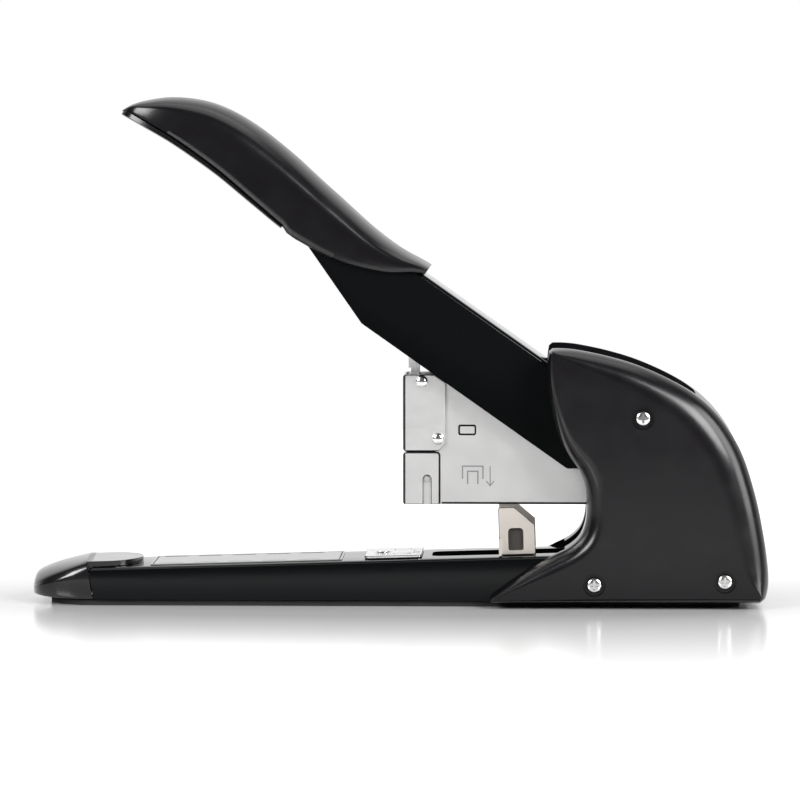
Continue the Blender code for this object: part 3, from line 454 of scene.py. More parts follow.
def extruded(outlines, half, matrix):
    """A filled outline with holes, as thick as twice half, turned by the matrix."""
    lines = [[(x, z, 0.0) for x, z in outline] for outline in outlines]
    bm = bmesh.new()
    bm.from_mesh(curve_mesh(lines, True, dimensions="2D", fill_mode="BOTH", extrude=half))
    bmesh.ops.remove_doubles(bm, verts=bm.verts, dist=0.001)
    bmesh.ops.transform(bm, matrix=matrix, verts=bm.verts)
    return to_mesh(bm)


def upright(outline, y_low, y_high, holes=()):
    """An XZ outline stood upright between two Y values, with holes."""
    shift = Matrix.Translation((0.0, (y_low + y_high) / 2, 0.0))
    turn = Matrix.Rotation(math.radians(90.0), 4, "X")
    return extruded((outline, *holes), (y_high - y_low) / 2, shift @ turn)


def flat(outline, z_low, z_high, holes=()):
    """An XY outline laid flat between two Z values, with holes."""
    shift = Matrix.Translation((0.0, 0.0, (z_low + z_high) / 2))
    return extruded((outline, *holes), (z_high - z_low) / 2, shift)


def round_edges(mesh, keep, offset, segments, turn=0.0):
    """Bevels the edges whose two ends pass the keep test, in millimetres.

    With a turn, flat faces are merged first and edges bent by less than it are left alone.
    """
    bm = bmesh.new()
    bm.from_mesh(mesh)
    bmesh.ops.scale(bm, vec=(1 / MM, 1 / MM, 1 / MM), verts=bm.verts)
    if turn:
        bmesh.ops.dissolve_limit(bm, angle_limit=0.002, verts=bm.verts, edges=bm.edges)
    bm.normal_update()
    chosen = []
    for edge in bm.edges:
        if all(keep(v.co) for v in edge.verts) and edge.calc_face_angle(0) >= turn:
            chosen.append(edge)
    bmesh.ops.bevel(
        bm, geom=chosen, offset=offset, segments=segments, affect="EDGES", profile=0.5
    )
    return to_mesh(bm)


def loft(rings):
    """A closed skin through rings of equal point count, capped at both ends."""
    bm = bmesh.new()
    rows = [[bm.verts.new(point) for point in ring] for ring in rings]
    count = len(rings[0])
    for row, following in zip(rows, rows[1:]):
        for i in range(count):
            j = (i + 1) % count
            bm.faces.new((row[i], row[j], following[j], following[i]))
    bm.faces.new(rows[0])
    bm.faces.new(list(reversed(rows[-1])))
    return to_mesh(bm)


def combine(mesh, others, operation):
    """The mesh after an exact boolean with each of the others."""
    target = linked("target", mesh)
    tools = []
    for other in others:
        tool = linked("cutter", other)
        tools.append(tool)
        modifier = target.modifiers.new("combine", "BOOLEAN")
        assign(modifier, operation=operation, solver="EXACT", object=tool)
    return finished_mesh(target, *tools)


def cut(mesh, *others):
    return combine(mesh, others, "DIFFERENCE")


def join(mesh, *others):
    return combine(mesh, others, "UNION")


def mirrored(mesh):
    """The mesh's mirror image, on the right."""
    bm = bmesh.new()
    bm.from_mesh(mesh)
    bmesh.ops.scale(bm, vec=(1.0, -1.0, 1.0), verts=bm.verts)
    bmesh.ops.reverse_faces(bm, faces=bm.faces)
    made = bpy.data.meshes.new("mirrored")
    bm.to_mesh(made)
    bm.free()
    return made


def chain(knots, steps):
    """A Catmull-Rom chain through knots of any width, ends included."""
    points = []
    for i in range(len(knots) - 1):
        before, start = Vector(knots[max(i - 1, 0)]), Vector(knots[i])
        end, after = Vector(knots[i + 1]), Vector(knots[min(i + 2, len(knots) - 1)])
        for step in range(steps):
            t = step / steps
            point = start * 2 + (end - before) * t
            point += (before * 2 - start * 5 + end * 4 - after) * t**2
            point += (start * 3 - before - end * 3 + after) * t**3
            points.append(tuple(point / 2))
    points.append(tuple(knots[-1]))
    return points


def turned(profile, at, direction, sides=40):
    """A profile (radius, height) listed top to bottom, spun about the direction at a point."""
    bm = bmesh.new()
    verts = [bm.verts.new((radius, 0.0, height)) for radius, height in profile]
    edges = [bm.edges.new(pair) for pair in zip(verts, verts[1:])]
    about = {"cent": (0, 0, 0), "axis": (0, 0, 1), "angle": 2 * math.pi}
    bmesh.ops.spin(bm, geom=edges + verts, steps=sides, use_merge=True, **about)
    bmesh.ops.remove_doubles(bm, verts=bm.verts, dist=0.001)
    turn = Vector(direction).to_track_quat("Z", "Y").to_matrix().to_4x4()
    bmesh.ops.transform(bm, matrix=Matrix.Translation(at) @ turn, verts=bm.verts)
    return to_mesh(bm)


def edge_bevel(obj, width, segments, angle):
    """Rounds the edges where the surface turns by more than the angle, in degrees."""
    limit = {"limit_method": "ANGLE", "angle_limit": math.radians(angle)}
    bevel = obj.modifiers.new("edges", "BEVEL")
    return assign(bevel, width=width * MM, segments=segments, **limit)


def piece(
    name, mesh, body, look, node=None, slot=None, at=WORLD, edge=0.2, angle=35.0, edge_shade_look=None
):
    """A finished piece: placed, rounded along sharp edges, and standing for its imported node."""
    mesh.transform(at)
    mesh.name = name
    mesh.materials.clear()
    mesh.materials.append(LOOKS[look])
    # A second look, painted shade, goes on the bevelled edges
    if edge_shade_look:
        mesh.materials.append(LOOKS[edge_shade_look])
    mesh.shade_smooth()
    mesh.set_sharp_from_angle(angle=math.radians(angle))
    obj = linked(name, mesh)
    if edge:
        bevel = edge_bevel(obj, edge, 3, angle)
        bevel.harden_normals = True
        if edge_shade_look:
            bevel.material = 1
            bevel.use_clamp_overlap = False
    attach(obj, body)
    if node:
        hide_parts(node)
    return obj


# Covers

# Knots of the side outline: x, z and the width of the soft edge there
COVER_TOP = (
    (60.0, 100.8, 1.2), (64.5, 100.8, 3.4), (70.6, 100.1, 5.0), (81.6, 97.8, 7.0),
    (92.9, 94.4, 8.5), (104.5, 89.4, 10.0), (114.0, 84.0, 11.0), (121.6, 77.8, 12.0),
    (128.3, 69.6, 12.0), (134.2, 58.6, 12.0), (139.0, 43.3, 12.0), (142.0, 29.0, 11.5),
    (143.6, 18.0, 10.0), (144.0, 10.0, 7.0), (142.9, 4.4, 2.6), (140.6, 2.2, 1.8),
)
COVER_BOTTOM = ((120.0, 2.2, 1.8), (70.0, 2.2, 1.6), (50.5, 2.2, 1.2))
COVER_FRONT = (
    (37.0, 2.2, 0.8), (35.8, 3.2, 0.6), (37.2, 5.3, 1.0), (44.7, 10.9, 3.4), (52.1, 15.8, 5.0),
    (60.0, 20.3, 6.0), (66.5, 23.6, 6.0), (70.8, 27.6, 6.5), (72.9, 33.0, 7.0), (73.4, 40.0, 7.0),
    (72.8, 47.5, 7.0), (70.6, 53.4, 6.5), (67.3, 58.0, 6.0), (63.9, 63.8, 5.0), (61.2, 71.5, 4.0),
    (59.2, 80.5, 3.0), (58.1, 88.8, 2.5), (58.1, 95.5, 2.0), (58.7, 99.7, 1.2),
)


# Place of the flat ring inside the crown, in widths: it keeps the shading off the face
FLAT_RING = 1.12


def inward_normals(outline):
    """The unit normal at each point of the outline, towards its inside."""
    normals = []
    count = len(outline)
    for i in range(count):
        following = Vector(outline[(i + 1) % count][:2])
        along = (following - Vector(outline[i - 1][:2])).normalized()
        normals.append(Vector((along.y, -along.x)))
    return normals


def crowned(outline, start, face, crown, rings):
    """A pad from Y = start to Y = -face, its far edge rounded by each outline point's width."""
    normals = inward_normals(outline)
    levels = [(start, 0.0)]
    for step in range(rings + 1):
        turn = math.pi / 2 * step / rings
        levels.append((-(face - crown) - crown * math.sin(turn), 1.0 - math.cos(turn)))
    levels.append((-face, FLAT_RING))
    made = []
    for y, share in levels:
        ring = []
        for (x, z, width), normal in zip(outline, normals):
            ring.append((x + normal.x * width * share, y, z + normal.y * width * share))
        made.append(ring)
    return loft(made)


def cover_cavity(outline):
    """The same pad, a wall smaller, without the thin foot or points lost in a tight corner."""
    wall = COVER_WALL + 0.1
    foot_end = 50.0
    least_width = 0.3
    inner = []
    for (x, z, width), normal in zip(outline, inward_normals(outline)):
        place = Vector((x, z)) + normal * wall
        nearest = min((place - Vector(other[:2])).length for other in outline)
        if place.x >= foot_end and nearest > wall * 0.98:
            inner.append((place.x, place.y, max(width - COVER_WALL, least_width)))
    past_middle = 3.0
    return crowned(inner, past_middle, COVER_HALF - COVER_WALL, COVER_CROWN - COVER_WALL, 4)


def cover_mesh():
    """The left shell, open for the handle, the head and the base, with its screw bosses."""
    fine = chain(COVER_TOP, 6) + list(COVER_BOTTOM) + chain(COVER_FRONT, 6)
    fine = [(min(x, COVER_REAR), z, width) for x, z, width in fine]
    rough = chain(COVER_TOP, 3) + list(COVER_BOTTOM) + chain(COVER_FRONT, 3)
    shell = crowned(fine, -COVER_SEAM, COVER_HALF, COVER_CROWN, 14)
    ahead, arm_rear, mouth_rear = 30.0, 80.0, 116.0
    past_middle = 5.0
    far = 30.0
    mouth = oblong(ahead, mouth_rear, -MOUTH_HALF, far)
    mouth[1] = (mouth_rear, -MOUTH_HALF, 10.0)
    channel_top = plate_top(BASE_REAR) + 0.6
    room = [
        cover_cavity(rough),
        flat(rounded(mouth, steps=12), 54.0, 120.0),
        flat(oblong(ahead, arm_rear, -ARM_MOUTH_HALF, far), 42.5, 56.0),
        block((ahead, -THROAT_HALF, 15.0), (arm_rear, past_middle, 43.0)),
        block((ahead, -BASE_HALF - 0.4, -5.0), (BASE_REAR + 0.6, past_middle, channel_top)),
    ]
    hollow = cut(shell, *room)
    boss, bore, head_bore = 5.4, 2.1, 4.4
    outside, inside = -40.0, -10.0
    head_seat = -COVER_HALF + 1.9
    bosses = []
    bores = []
    ends = (FRAME_HALF + 2 * GAP, BASE_HALF + 0.7, BASE_HALF + 0.7)
    for (x, z), end in zip(SCREWS, ends):
        bosses.append(rod((x, -COVER_HALF + 1.0, z), (x, -end, z), boss))
        bores.append(rod((x, outside, z), (x, inside, z), bore, 24))
        bores.append(rod((x, outside, z), (x, head_seat, z), head_bore, 48))
    return cut(join(hollow, *bosses), *bores)


def covers():
    """The left shell and its mirror image."""
    left = cover_mesh()
    for side, mesh in (("left", left), ("right", mirrored(left))):
        node = f"{side}_cover"
        piece(f"cover_{side}_moulding", mesh, "base", "cover_plastic", node, edge=0.35)


covers()


# Handle

# The lower strip's rear end, where the cavity starts and ends, and where the shoulders settle
INSERT_END = -158.2
HOLLOW_ENDS = (-228.0, -160.0)
SHOULDER_END = -140.0
# Stations along the grip, in the handle's frame: x, top, bottom, half width
GRIP = (
    (-238.3, -4.6, -7.0, 9.0), (-236.6, -1.2, -6.9, 12.0), (-233.4, 2.8, -6.5, 14.2),
    (-226.5, 9.2, -5.8, 16.2), (-216.7, 15.0, -4.9, 17.4), (-206.3, 18.5, -4.6, 18.0),
    (-192.4, 19.9, -4.8, 18.4), (-175.7, 19.1, -6.1, 18.8), (-158.2, 16.9, -7.3, 19.2),
    (-149.8, 15.9, -6.8, 19.5), (-141.8, 14.9, -5.9, 19.7), (-132.8, 13.8, -3.8, 19.9),
    (-124.2, 13.3, -0.5, 20.0), (-116.5, 13.4, 3.4, 20.0), (-109.6, 14.2, 8.5, 20.0),
    (-105.0, 14.5, 10.9, 19.6),
)


def strip_top(x, top, bottom):
    """The upper face of the lower strip, which thins to the rear and at the tip."""
    share = (x - GRIP[0][0]) / (INSERT_END - GRIP[0][0])
    depth = 2.4 - 1.5 * min(max(share, 0.0), 1.0)
    return bottom + depth * min(1.0, (top - bottom) / 6)


def grip_ring(x, top, bottom, half):
    """A section of the grip: a barely bowed side between a small lower edge and round shoulders."""
    height = top - bottom
    # The shoulder grows towards the tip, but never takes more than 0.62 of the height
    ahead = SHOULDER_END - x
    wanted = 8.6 + 0.063 * (ahead + math.hypot(ahead, 24.0))
    rise = ((0.62 * height) ** -6 + wanted**-6) ** (-1 / 6)
    low = bottom + height * 0.12
    high = top - rise
    ring = [(x, -half * 0.92, bottom), (x, -half * 0.98, bottom + height * 0.04)]
    steps = 6
    for step in range(steps):
        share = step / steps
        bow = 0.99 + 0.01 * math.sin(share * math.pi / 2)
        ring.append((x, -half * bow, low + (high - low) * share))
    steps = 18
    for step in range(steps + 1):
        climb = math.sin(math.pi / 2 * step / steps)
        ring.append((x, -half * math.sqrt(1.0 - climb**3.0), high + rise * climb))
    return closed(ring)


def closed(half_ring):
    """A left half ring and its mirror image, with the middle point once."""
    return half_ring + [(x, -y, z) for x, y, z in reversed(half_ring[:-1])]


def grip():
    """The hollow upper moulding, with a pocket for the arm."""
    rings = []
    hollow = []
    for x, top, bottom, half in chain(GRIP, 5):
        floor = bottom
        if x <= INSERT_END:
            floor = strip_top(x, top, bottom) + 0.08
        rings.append(grip_ring(x, top, floor, half))
        if HOLLOW_ENDS[0] < x < HOLLOW_ENDS[1]:
            hollow.append(grip_ring(x, top - GRIP_WALL, bottom - 6.0, half - GRIP_WALL))
    pocket_half = ARM_HALF + GAP
    roof = ARM_TOP + GAP
    pocket = upright(oblong(-161.0, -60.0, -60.0, roof), -pocket_half, pocket_half)
    pocket = round_edges(pocket, lambda v: v.z > roof - 1.0, 3.0, 6)
    made = cut(loft(rings), loft(hollow), pocket)
    fit = {"slot": "cover_plastic", "at": HANDLE, "edge": 0.4, "angle": 50}
    piece("grip_moulding", made, "handle", "grip_plastic", "grip_shell", **fit)


def grip_strip():
    """The strip that closes the grip underneath."""
    rings = []
    tip = -237.9
    for x, top, bottom, half in chain(GRIP, 5):
        if x > INSERT_END or x < tip:
            continue
        side = half * 0.985
        near = [(x, -side * 0.9, bottom), (x, -side, bottom + 0.4)]
        near.append((x, -side, strip_top(x, top, bottom)))
        rings.append(near + [(px, -py, pz) for px, py, pz in reversed(near)])
    fit = {"slot": "matte_plastic", "at": HANDLE, "edge": 0.15}
    piece("grip_underside", loft(rings), "handle", "grip_plastic", "grip_insert", **fit)


def rolled(outline, half, top, bend):
    """An outline stood upright whose two long top edges are rolled over by a bend radius."""
    levels = []
    steps = 8
    for step in range(steps + 1):
        turn = math.pi / 2 * step / steps
        y = -half + bend * (1.0 - math.cos(turn))
        levels.append((y, top - bend * (1.0 - math.sin(turn))))
    levels += [(-y, height) for y, height in reversed(levels)]
    return loft([[(x, y, min(z, height)) for x, z in outline] for y, height in levels])


def arm():
    """The folded channel, open underneath and round at its pivot."""
    tail = arc((0.0, 0.0), ARM_TOP, 90.0, -110.0, 32)
    front = [(-16.0, ARM_BOTTOM, 3.0), (-114.1, ARM_BOTTOM, 1.5)]
    front += [(-149.3, -6.3), (-160.0, -2.4), (-160.0, ARM_TOP)]
    outline = tail + rounded([tail[-1], *front, tail[0]])[1:-1]
    shell = rolled(outline, ARM_HALF, ARM_TOP, 2.0)
    inner = ARM_HALF - ARM_SHEET
    inside = upright(oblong(-200.0, 40.0, -60.0, ARM_TOP - ARM_SHEET), -inner, inner)
    made = cut(shell, inside, rod((0, -30, 0), (0, 30, 0), 4.2))
    piece("arm_channel", made, "handle", "black_paint", "handle_arm", at=HANDLE)


grip()
grip_strip()
arm()


# Base


def wedge(x_low, x_high, half, bottom, drop):
    """A prism under the sloping plate, its top lowered by drop, its front leaning over the toe."""
    lean = x_low - FRONT_LEAN
    top = [(x_high, plate_top(x_high) - drop), (lean, plate_top(lean) - drop)]
    return upright([(x_low, bottom), (x_high, bottom), *top], -half, half)


def base():
    """The folded channel with the depth stop's slot."""
    shell = wedge(BASE_FRONT, BASE_REAR, BASE_HALF, BASE_BOTTOM, 0.0)
    shell = round_edges(shell, lambda v: v.z > 10.0 and abs(v.y) > 20.0, 3.0, 10)
    ends = (BASE_FRONT - 5, BASE_REAR + 5)
    inside = wedge(*ends, BASE_HALF - BASE_SHEET, BASE_BOTTOM - 5, BASE_SHEET)
    made = cut(shell, inside, flat(rectangle(*SLOT_ENDS, SLOT_HALF, 4.0), 10, 30))
    piece("base_sheet", made, "base", "black_paint", "base_channel")


def nose():
    """A toe that falls away in front of the channel, with a tongue that lies on the plate."""
    rings = []
    count = 32
    for step in range(count + 1):
        # The share of the toe's length runs from 0 at the channel to 1 at the tip
        turn = math.radians(88.0 * step / count)
        share = math.sin(turn)
        x = BASE_FRONT - 3.0 - NOSE_REACH * share
        half = (BASE_HALF + 0.2) * math.cos(turn) ** 0.55
        crown = 18.6 - 5.2 * share - 2.5 * share**4 - 3.8 * share**40
        side = 16.2 - 8.8 * share - 0.8 * share**2
        keel = BASE_BOTTOM + 0.1 + 1.2 * share**4
        lean = 2.9 * (1.0 - step / count)
        rise = side - keel - 1.0
        knots = [(x + lean, -half * 0.94, keel), (x + lean * 0.8, -half, keel + 1.0)]
        knots.append((x + lean * 0.3, -half, side - 0.35 * rise))
        knots.append((x, -half * 0.965, side - 0.08 * rise))
        for width, share_up in ((0.86, 0.35), (0.5, 0.8)):
            knots.append((x, -half * width, side + share_up * (crown - side)))
        knots.append((x, 0.0, crown))
        rings.append(chain(closed(knots), 5))
    tongue_front, tongue_bend, tongue_reach = BASE_FRONT - 4.0, BASE_FRONT + 4.0, 13.6
    plan = [(tongue_front, -TONGUE_HALF), (tongue_front, TONGUE_HALF)]
    for along, across in arc((0.0, 0.0), 1.0, 90.0, -90.0, 48):
        plan.append((tongue_bend + tongue_reach * along, TONGUE_HALF * across))
    tongue = flat(plan, GAP, GAP + 2.0)
    tongue.transform(PLATE)
    made = join(loft(rings), tongue)
    piece("toe_moulding", made, "base", "cap_plastic", "nose_cap", "cover_plastic", edge=0.6)


def anvil():
    """The clincher plate, with two inner and two outer pockets for the staple's legs."""
    hole = arc((ANVIL_RIVET, 0.0), 2.3, 0.0, 360.0, 32)[:-1]
    plate = flat(rectangle(-13.2, 9.2, 17.0, 2.0), GAP, GAP + 1.0, holes=[hole])
    pockets = []
    for x_low, x_high, y, z, radius in ((5.7, 8.3, 4.2, 5.1, 4.5), (-2.0, 4.5, 9.0, 5.3, 4.6)):
        for side in (-1, 1):
            pockets.append(rod((x_low, side * y, z), (x_high, side * y, z), radius))
    made = cut(plate, *pockets)
    # The plate's rounded edges take painted shade
    piece("anvil_sheet", made, "base", "chrome", "anvil_plate", at=PLATE, edge_shade_look="painted_shade_edge")


def label():
    """A glossy panel with a printed border and two rows of dashes."""
    plate = flat(rectangle(-97.0, -22.0, 18.0, 2.0), 0.1, 0.4)
    piece("label_sheet", plate, "base", "label", "scale_label", at=PLATE, edge=0.05)
    low, high = 0.38, 0.42
    hole = rectangle(-95.8, -23.2, 16.8, 1.4)
    border = flat(rectangle(-96.2, -22.8, 17.2, 1.6), low, high, holes=[hole])
    dashes = []
    for middle in (-89.0, -75.5, -62.0, -48.5, -35.0):
        for near, far in ((13.0, 14.4), (-13.4, -13.0)):
            dashes.append(block((middle - 4.6, near, low), (middle + 4.6, far, high)))
    piece("label_print", join(border, *dashes), "base", "ink", slot="label", at=PLATE, edge=0)


base()
nose()
anvil()
label()


# Staple head

RIVETS = ((9.1, 87.2), (15.5, 64.8))
NOSE_PIN = (11.2, 49.0)


def housing():
    """Folded sheet with a web on its top and slope, a tab in each side and a spring seat."""
    profile = [(HEAD_FRONT, HEAD_BOTTOM), (127.5, HEAD_BOTTOM, 3.0), (127.5, 54.0, 6.0)]
    profile += [(122.0, 59.5, 4.0), (113.0, 59.5, 4.0), (105.0, 51.2, 5.0), (73.0, 51.2, 3.0)]
    profile += [(14.0, HEAD_TOP), (HEAD_FRONT, HEAD_TOP)]
    floor_top = HEAD_BOTTOM + HEAD_SHEET
    roof = HEAD_TOP - HEAD_SHEET
    room = [(-5.0, 20.0), (90.0, 20.0), (90.0, floor_top), (140.0, floor_top), (140.0, 75.0)]
    room += [(58.5, 75.0), (58.5, 59.2), (13.4, roof), (-5.0, roof)]
    inner = HEAD_HALF - HEAD_SHEET
    x, z = HEAD_PIVOT
    holes = [
        upright(room, -inner, inner),
        block((0.0, -4.5, 80.0), (8.6, 4.5, 100.0)),
        rod((x, -30, z), (x, 30, z), 3.2),
    ]
    tab = rounded(oblong(23.4, 30.2, 66.2, 70.2, 0.8))
    tongue = rounded(oblong(23.9, 29.8, 66.7, 69.7, 0.5))
    bend = (14.7, 58.1)
    below = 38.0
    behind_drawer = [(2.0, 59.2), *arc(bend, 1.1, 90.0, 0.0, 6), (15.8, below), (16.25, below)]
    behind_drawer += [*arc(bend, 1.55, 0.0, 60.0, 4), (13.5, 59.95), (2.0, 59.95)]
    bottom_line = oblong(17.0, 86.0, below, HEAD_BOTTOM + 0.75)
    for line, kept in ((tab, [tongue]), (behind_drawer, []), (bottom_line, [])):
        for side in (-1, 1):
            ends = between(side, HEAD_HALF - GROOVE, HEAD_HALF + 1.0)
            holes.append(upright(line, *ends, holes=kept))
    made = cut(upright(rounded(profile), -HEAD_HALF, HEAD_HALF), *holes)
    # The rims' rounded edges take painted shade
    rim = {"edge": 0.12, "edge_shade_look": "painted_shade_edge"}
    obj = piece("head_sheet", made, "head", "nickel", "magazine_housing", **rim)
    # The grooves' walls and floors get painted shade: they lie just inside the two outer faces
    for face in obj.data.polygons:
        if 0.05 * MM < HEAD_HALF * MM - abs(face.center.y) < 1.0 * MM:
            face.material_index = 1


def bar(start, end, width):
    """The outline of a straight line of some width."""
    across = (Vector(end) - Vector(start)).normalized()
    across = Vector((-across.y, across.x)) * width / 2
    start, end = Vector(start), Vector(end)
    corners = (start - across, end - across, end + across, start + across)
    return [tuple(corner) for corner in corners]


def mark():
    """A generic etched sign: two nested staples over an arrow that points down."""
    thick, thin = 0.5, 0.4
    lines = []
    for left, right, top in ((25.0, 33.0, 54.0), (27.0, 31.0, 52.0)):
        foot = top - 5.0
        lines += [bar((left, foot), (left, top), thick), bar((right, top), (right, foot), thick)]
        lines.append(bar((left - thick / 2, top), (right + thick / 2, top), thick))
    lines += [bar((35.8, 54.0), (35.8, 46.4), thin), bar((34.3, 48.2), (35.9, 46.2), thin)]
    lines.append(bar((35.7, 46.2), (37.3, 48.2), thin))
    for word, side in SIDES:
        ends = between(side, HEAD_HALF - 0.05, HEAD_HALF + 0.03)
        prints = [upright(line, *ends) for line in lines]
        made = join(prints[0], *prints[1:])
        piece(f"etched_sign_{word}", made, "head", "etched", slot="nickel", edge=0)


def rimmed(mesh, half, width):
    """Chamfers the rim of the outer faces, at Y = -half and half."""
    return round_edges(mesh, lambda v: abs(v.y) > half - 0.01, width, 1, 1.0)


def wrap(name, outline, node, rim, *cutters):
    """Sheet folded round the front of the head, with painted shade on its cut edges and on its
    bend.
    """
    shell = upright(outline, -WRAP_HALF, WRAP_HALF)
    shell = round_edges(shell, lambda v: v.x < NOSE_X + 0.01, 1.0, 5)
    inside = block((NOSE_X + WRAP_SHEET, -WRAP_INNER, 0.0), (60.0, WRAP_INNER, 120.0))
    made = rimmed(cut(shell, inside, *cutters), WRAP_HALF, rim)
    obj = piece(name, made, "head", "nickel", node, edge=0)
    sheet = obj.data
    # Two painted shade looks: one for the rims, one for the bend
    for look in ("painted_shade_edge", "painted_shade_bend"):
        sheet.materials.append(LOOKS[look])
    for face in sheet.polygons:
        slanted = abs(face.normal.y) > 0.1
        at_bend = face.center.x < (NOSE_X + 1.0) * MM and abs(face.normal.x) > 0.1
        lit = face.normal.x > 0.1 and face.center.z > 60.5 * MM
        if abs(face.normal.y) > 0.999:
            for loop in face.loop_indices:
                sheet.edges[sheet.loops[loop].edge_index].use_edge_sharp = True
        # Slanted faces at the bend take the bend's painted shade; the other slanted rims take
        # painted shade too, except those turned to +X above 60.5 mm, which keep the nickel as if
        # lit
        elif slanted and at_bend:
            face.material_index = 2
        elif slanted and not lit:
            face.material_index = 1


def front():
    """The plate round the front of the head, and the loading drawer's nose below it."""
    low, high = 60.0, 89.8
    corners = [(NOSE_X, low), (15.6, low, 1.0), (18.6, 62.8, 1.0)]
    corners += [(18.6, 86.6), (13.9, high), (NOSE_X, high)]
    wrap("front_sheet", rounded(corners), "front_plate", 0.3)
    x, z = NOSE_PIN
    slot = [(x - 1.5, 30.0), (x + 1.5, 30.0), *arc((x, z), 1.5, 0.0, 180.0, 16)]
    rear, high = 15.9, 59.3
    corners = [(NOSE_X, HEAD_BOTTOM), (rear, HEAD_BOTTOM, 0.8), (rear, high, 1.2), (NOSE_X, high)]
    wrap("nose_sheet", rounded(corners), "nose_block", 0.25, upright(slot, -30.0, 30.0))


def rivets():
    """Four dome rivets and the nose's two flat pins."""
    radius, height = 2.37, 1.2
    steps = 8
    dome = []
    for step in range(steps + 1):
        turn = math.pi / 2 * step / steps
        dome.append((radius * math.sin(turn), height * math.cos(turn)))
    dome += [(1.2, 0.0), (1.2, -1.0), (0.0, -1.0)]
    for place, (x, z) in zip(("upper", "lower"), RIVETS):
        for word, side in SIDES:
            made = turned(dome, (x, side * (WRAP_HALF + 0.1), z), (0, side, 0))
            name = f"rivet_{place}_{word}"
            piece(name, made, "head", "zinc", f"front_{name}", edge=0)
    x, z = NOSE_PIN
    pin = [(0.0, 0.25), (1.0, 0.25), (1.2, 0.05), (1.2, -0.7), (0.0, -0.7)]
    for word, side in SIDES:
        made = turned(pin, (x, side * WRAP_HALF, z), (0, side, 0))
        piece(f"slot_pin_{word}", made, "head", "zinc", f"nose_pin_{word}", edge=0)


housing()
mark()
front()
rivets()


# Depth stop


def depth_stop():
    """A bracket astride the base: two windowed legs, a web between them and a flange on each."""
    leg = rounded([(-6.9, 0.3), (7.3, 0.3, 0.8), (7.3, 11.8), (-0.6, 18.9), (-6.9, 18.9, 0.8)])
    window = rounded([(-3.0, 2.3, 0.5), (2.4, 2.3, 0.5), (2.4, 10.5, 1.2), (-3.0, 10.5, 1.2)])
    legs = []
    flanges = []
    for side in (-1, 1):
        sheet = upright(leg, *between(side, STOP_LEG_INNER, STOP_LEG_OUTER), holes=[window])
        legs.append(rimmed(sheet, STOP_LEG_OUTER, 0.25))
        near, far = between(side, STOP_LEG_INNER + 0.4, 21.0)
        flanges.append(block((-6.95, near, 0.35), (-5.9, far, 6.9)))
    reach = STOP_LEG_INNER + 0.5
    web = block((-6.2, -reach, 0.35), (6.2, reach, 1.5))
    made = join(web, *legs, *flanges)
    body = node = "depth_stop"
    obj = piece("stop_bracket", made, body, "warm_nickel", node, at=STOP, edge=0.1)
    # The legs' slanted rims take painted shade
    obj.data.materials.append(LOOKS["painted_shade_edge"])
    for face in obj.data.polygons:
        if 0.1 < abs(face.normal.y) < 0.9:
            face.material_index = 1


depth_stop()


# Cover screws


def screws():
    """Cross-recess screws sunk in the covers, three on each side."""
    profile = [(0.0, 1.6), (1.2, 1.56), (2.0, 1.42), (2.6, 1.12), (2.95, 0.62), (3.05, 0.0)]
    profile = [(r, h) for r, h, _ in chain([(r, h, 0.0) for r, h in profile], 4)]
    profile += [(1.7, 0.0), (1.7, -6.0), (0.0, -6.4)]
    long, narrow, floor, above = 1.75, 0.42, 0.5, 3.0
    for word, side in SIDES:
        for place, (x, z) in zip(("upper", "front", "rear"), SCREWS):
            head = turned(profile, (0, 0, 0), (0, 0, 1), 48)
            cross = [
                block((-long, -narrow, floor), (long, narrow, above)),
                block((-narrow, -long, floor), (narrow, long, above)),
            ]
            spin = Matrix.Rotation(math.radians(90.0) * -side, 4, "X")
            at = Matrix.Translation(Vector((x, side * (COVER_HALF - 1.6), z)) * MM) @ spin
            name = f"screw_{word}_{place}"
            made = cut(head, *cross)
            piece(f"cross_{name}", made, "base", "zinc", name, at=at, edge=0.12)


screws()


# Small fittings


def coil(radius, wire, height, turns, per_turn):
    """Points of a compression coil standing on the origin along +Z."""
    total = turns * per_turn
    points = []
    for step in range(total + 1):
        angle = 2 * math.pi * step / per_turn
        z = wire / 2 + (height - wire) * step / total
        points.append((radius * math.cos(angle), radius * math.sin(angle), z))
    return points


def wire_mesh(points, wire):
    """A round wire along a list of points."""
    lines = [[Vector(point) * MM for point in points]]
    shape = {"bevel_depth": wire / 2 * MM, "bevel_resolution": 4, "use_fill_caps": True}
    return curve_mesh(lines, False, dimensions="3D", **shape)


def handle_spring():
    """The torsion spring round the handle's pivot, with one leg under the arm."""
    wire, radius, half = 1.4, 5.4, 5.5
    turns, per_turn = 5, 28
    total = turns * per_turn
    points = [(-34.0, -half, 7.0), (-18.0, -half, 6.6), (-5.0, -half, 5.7)]
    for step in range(total + 1):
        angle = math.radians(90.0) + 2 * math.pi * step / per_turn
        y = -half + 2 * half * step / total
        points.append((-radius * math.cos(angle), y, radius * math.sin(angle)))
    points.append((-8.0, half, 5.6))
    made = wire_mesh(points, wire)
    piece("torsion_spring", made, "handle", "steel", "handle_spring", at=HANDLE, edge=0)


def lift_spring():
    """The coil under the head, which the head flattens as it comes down, drawn standing between the
    frame and the head.
    """
    wire, radius, turns = 1.1, 4.6, 5
    foot = plate_top(SPRING_X) + 2 * GAP + FRAME_SHEET + 0.15
    standing = coil(radius, wire, HEAD_BOTTOM - GAP - foot, turns, 28)
    made = wire_mesh([(SPRING_X + x, y, foot + z) for x, y, z in standing], wire)
    lift = piece("lift_spring", made, "base", "steel", "head_return_spring", edge=0)
    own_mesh(lift)


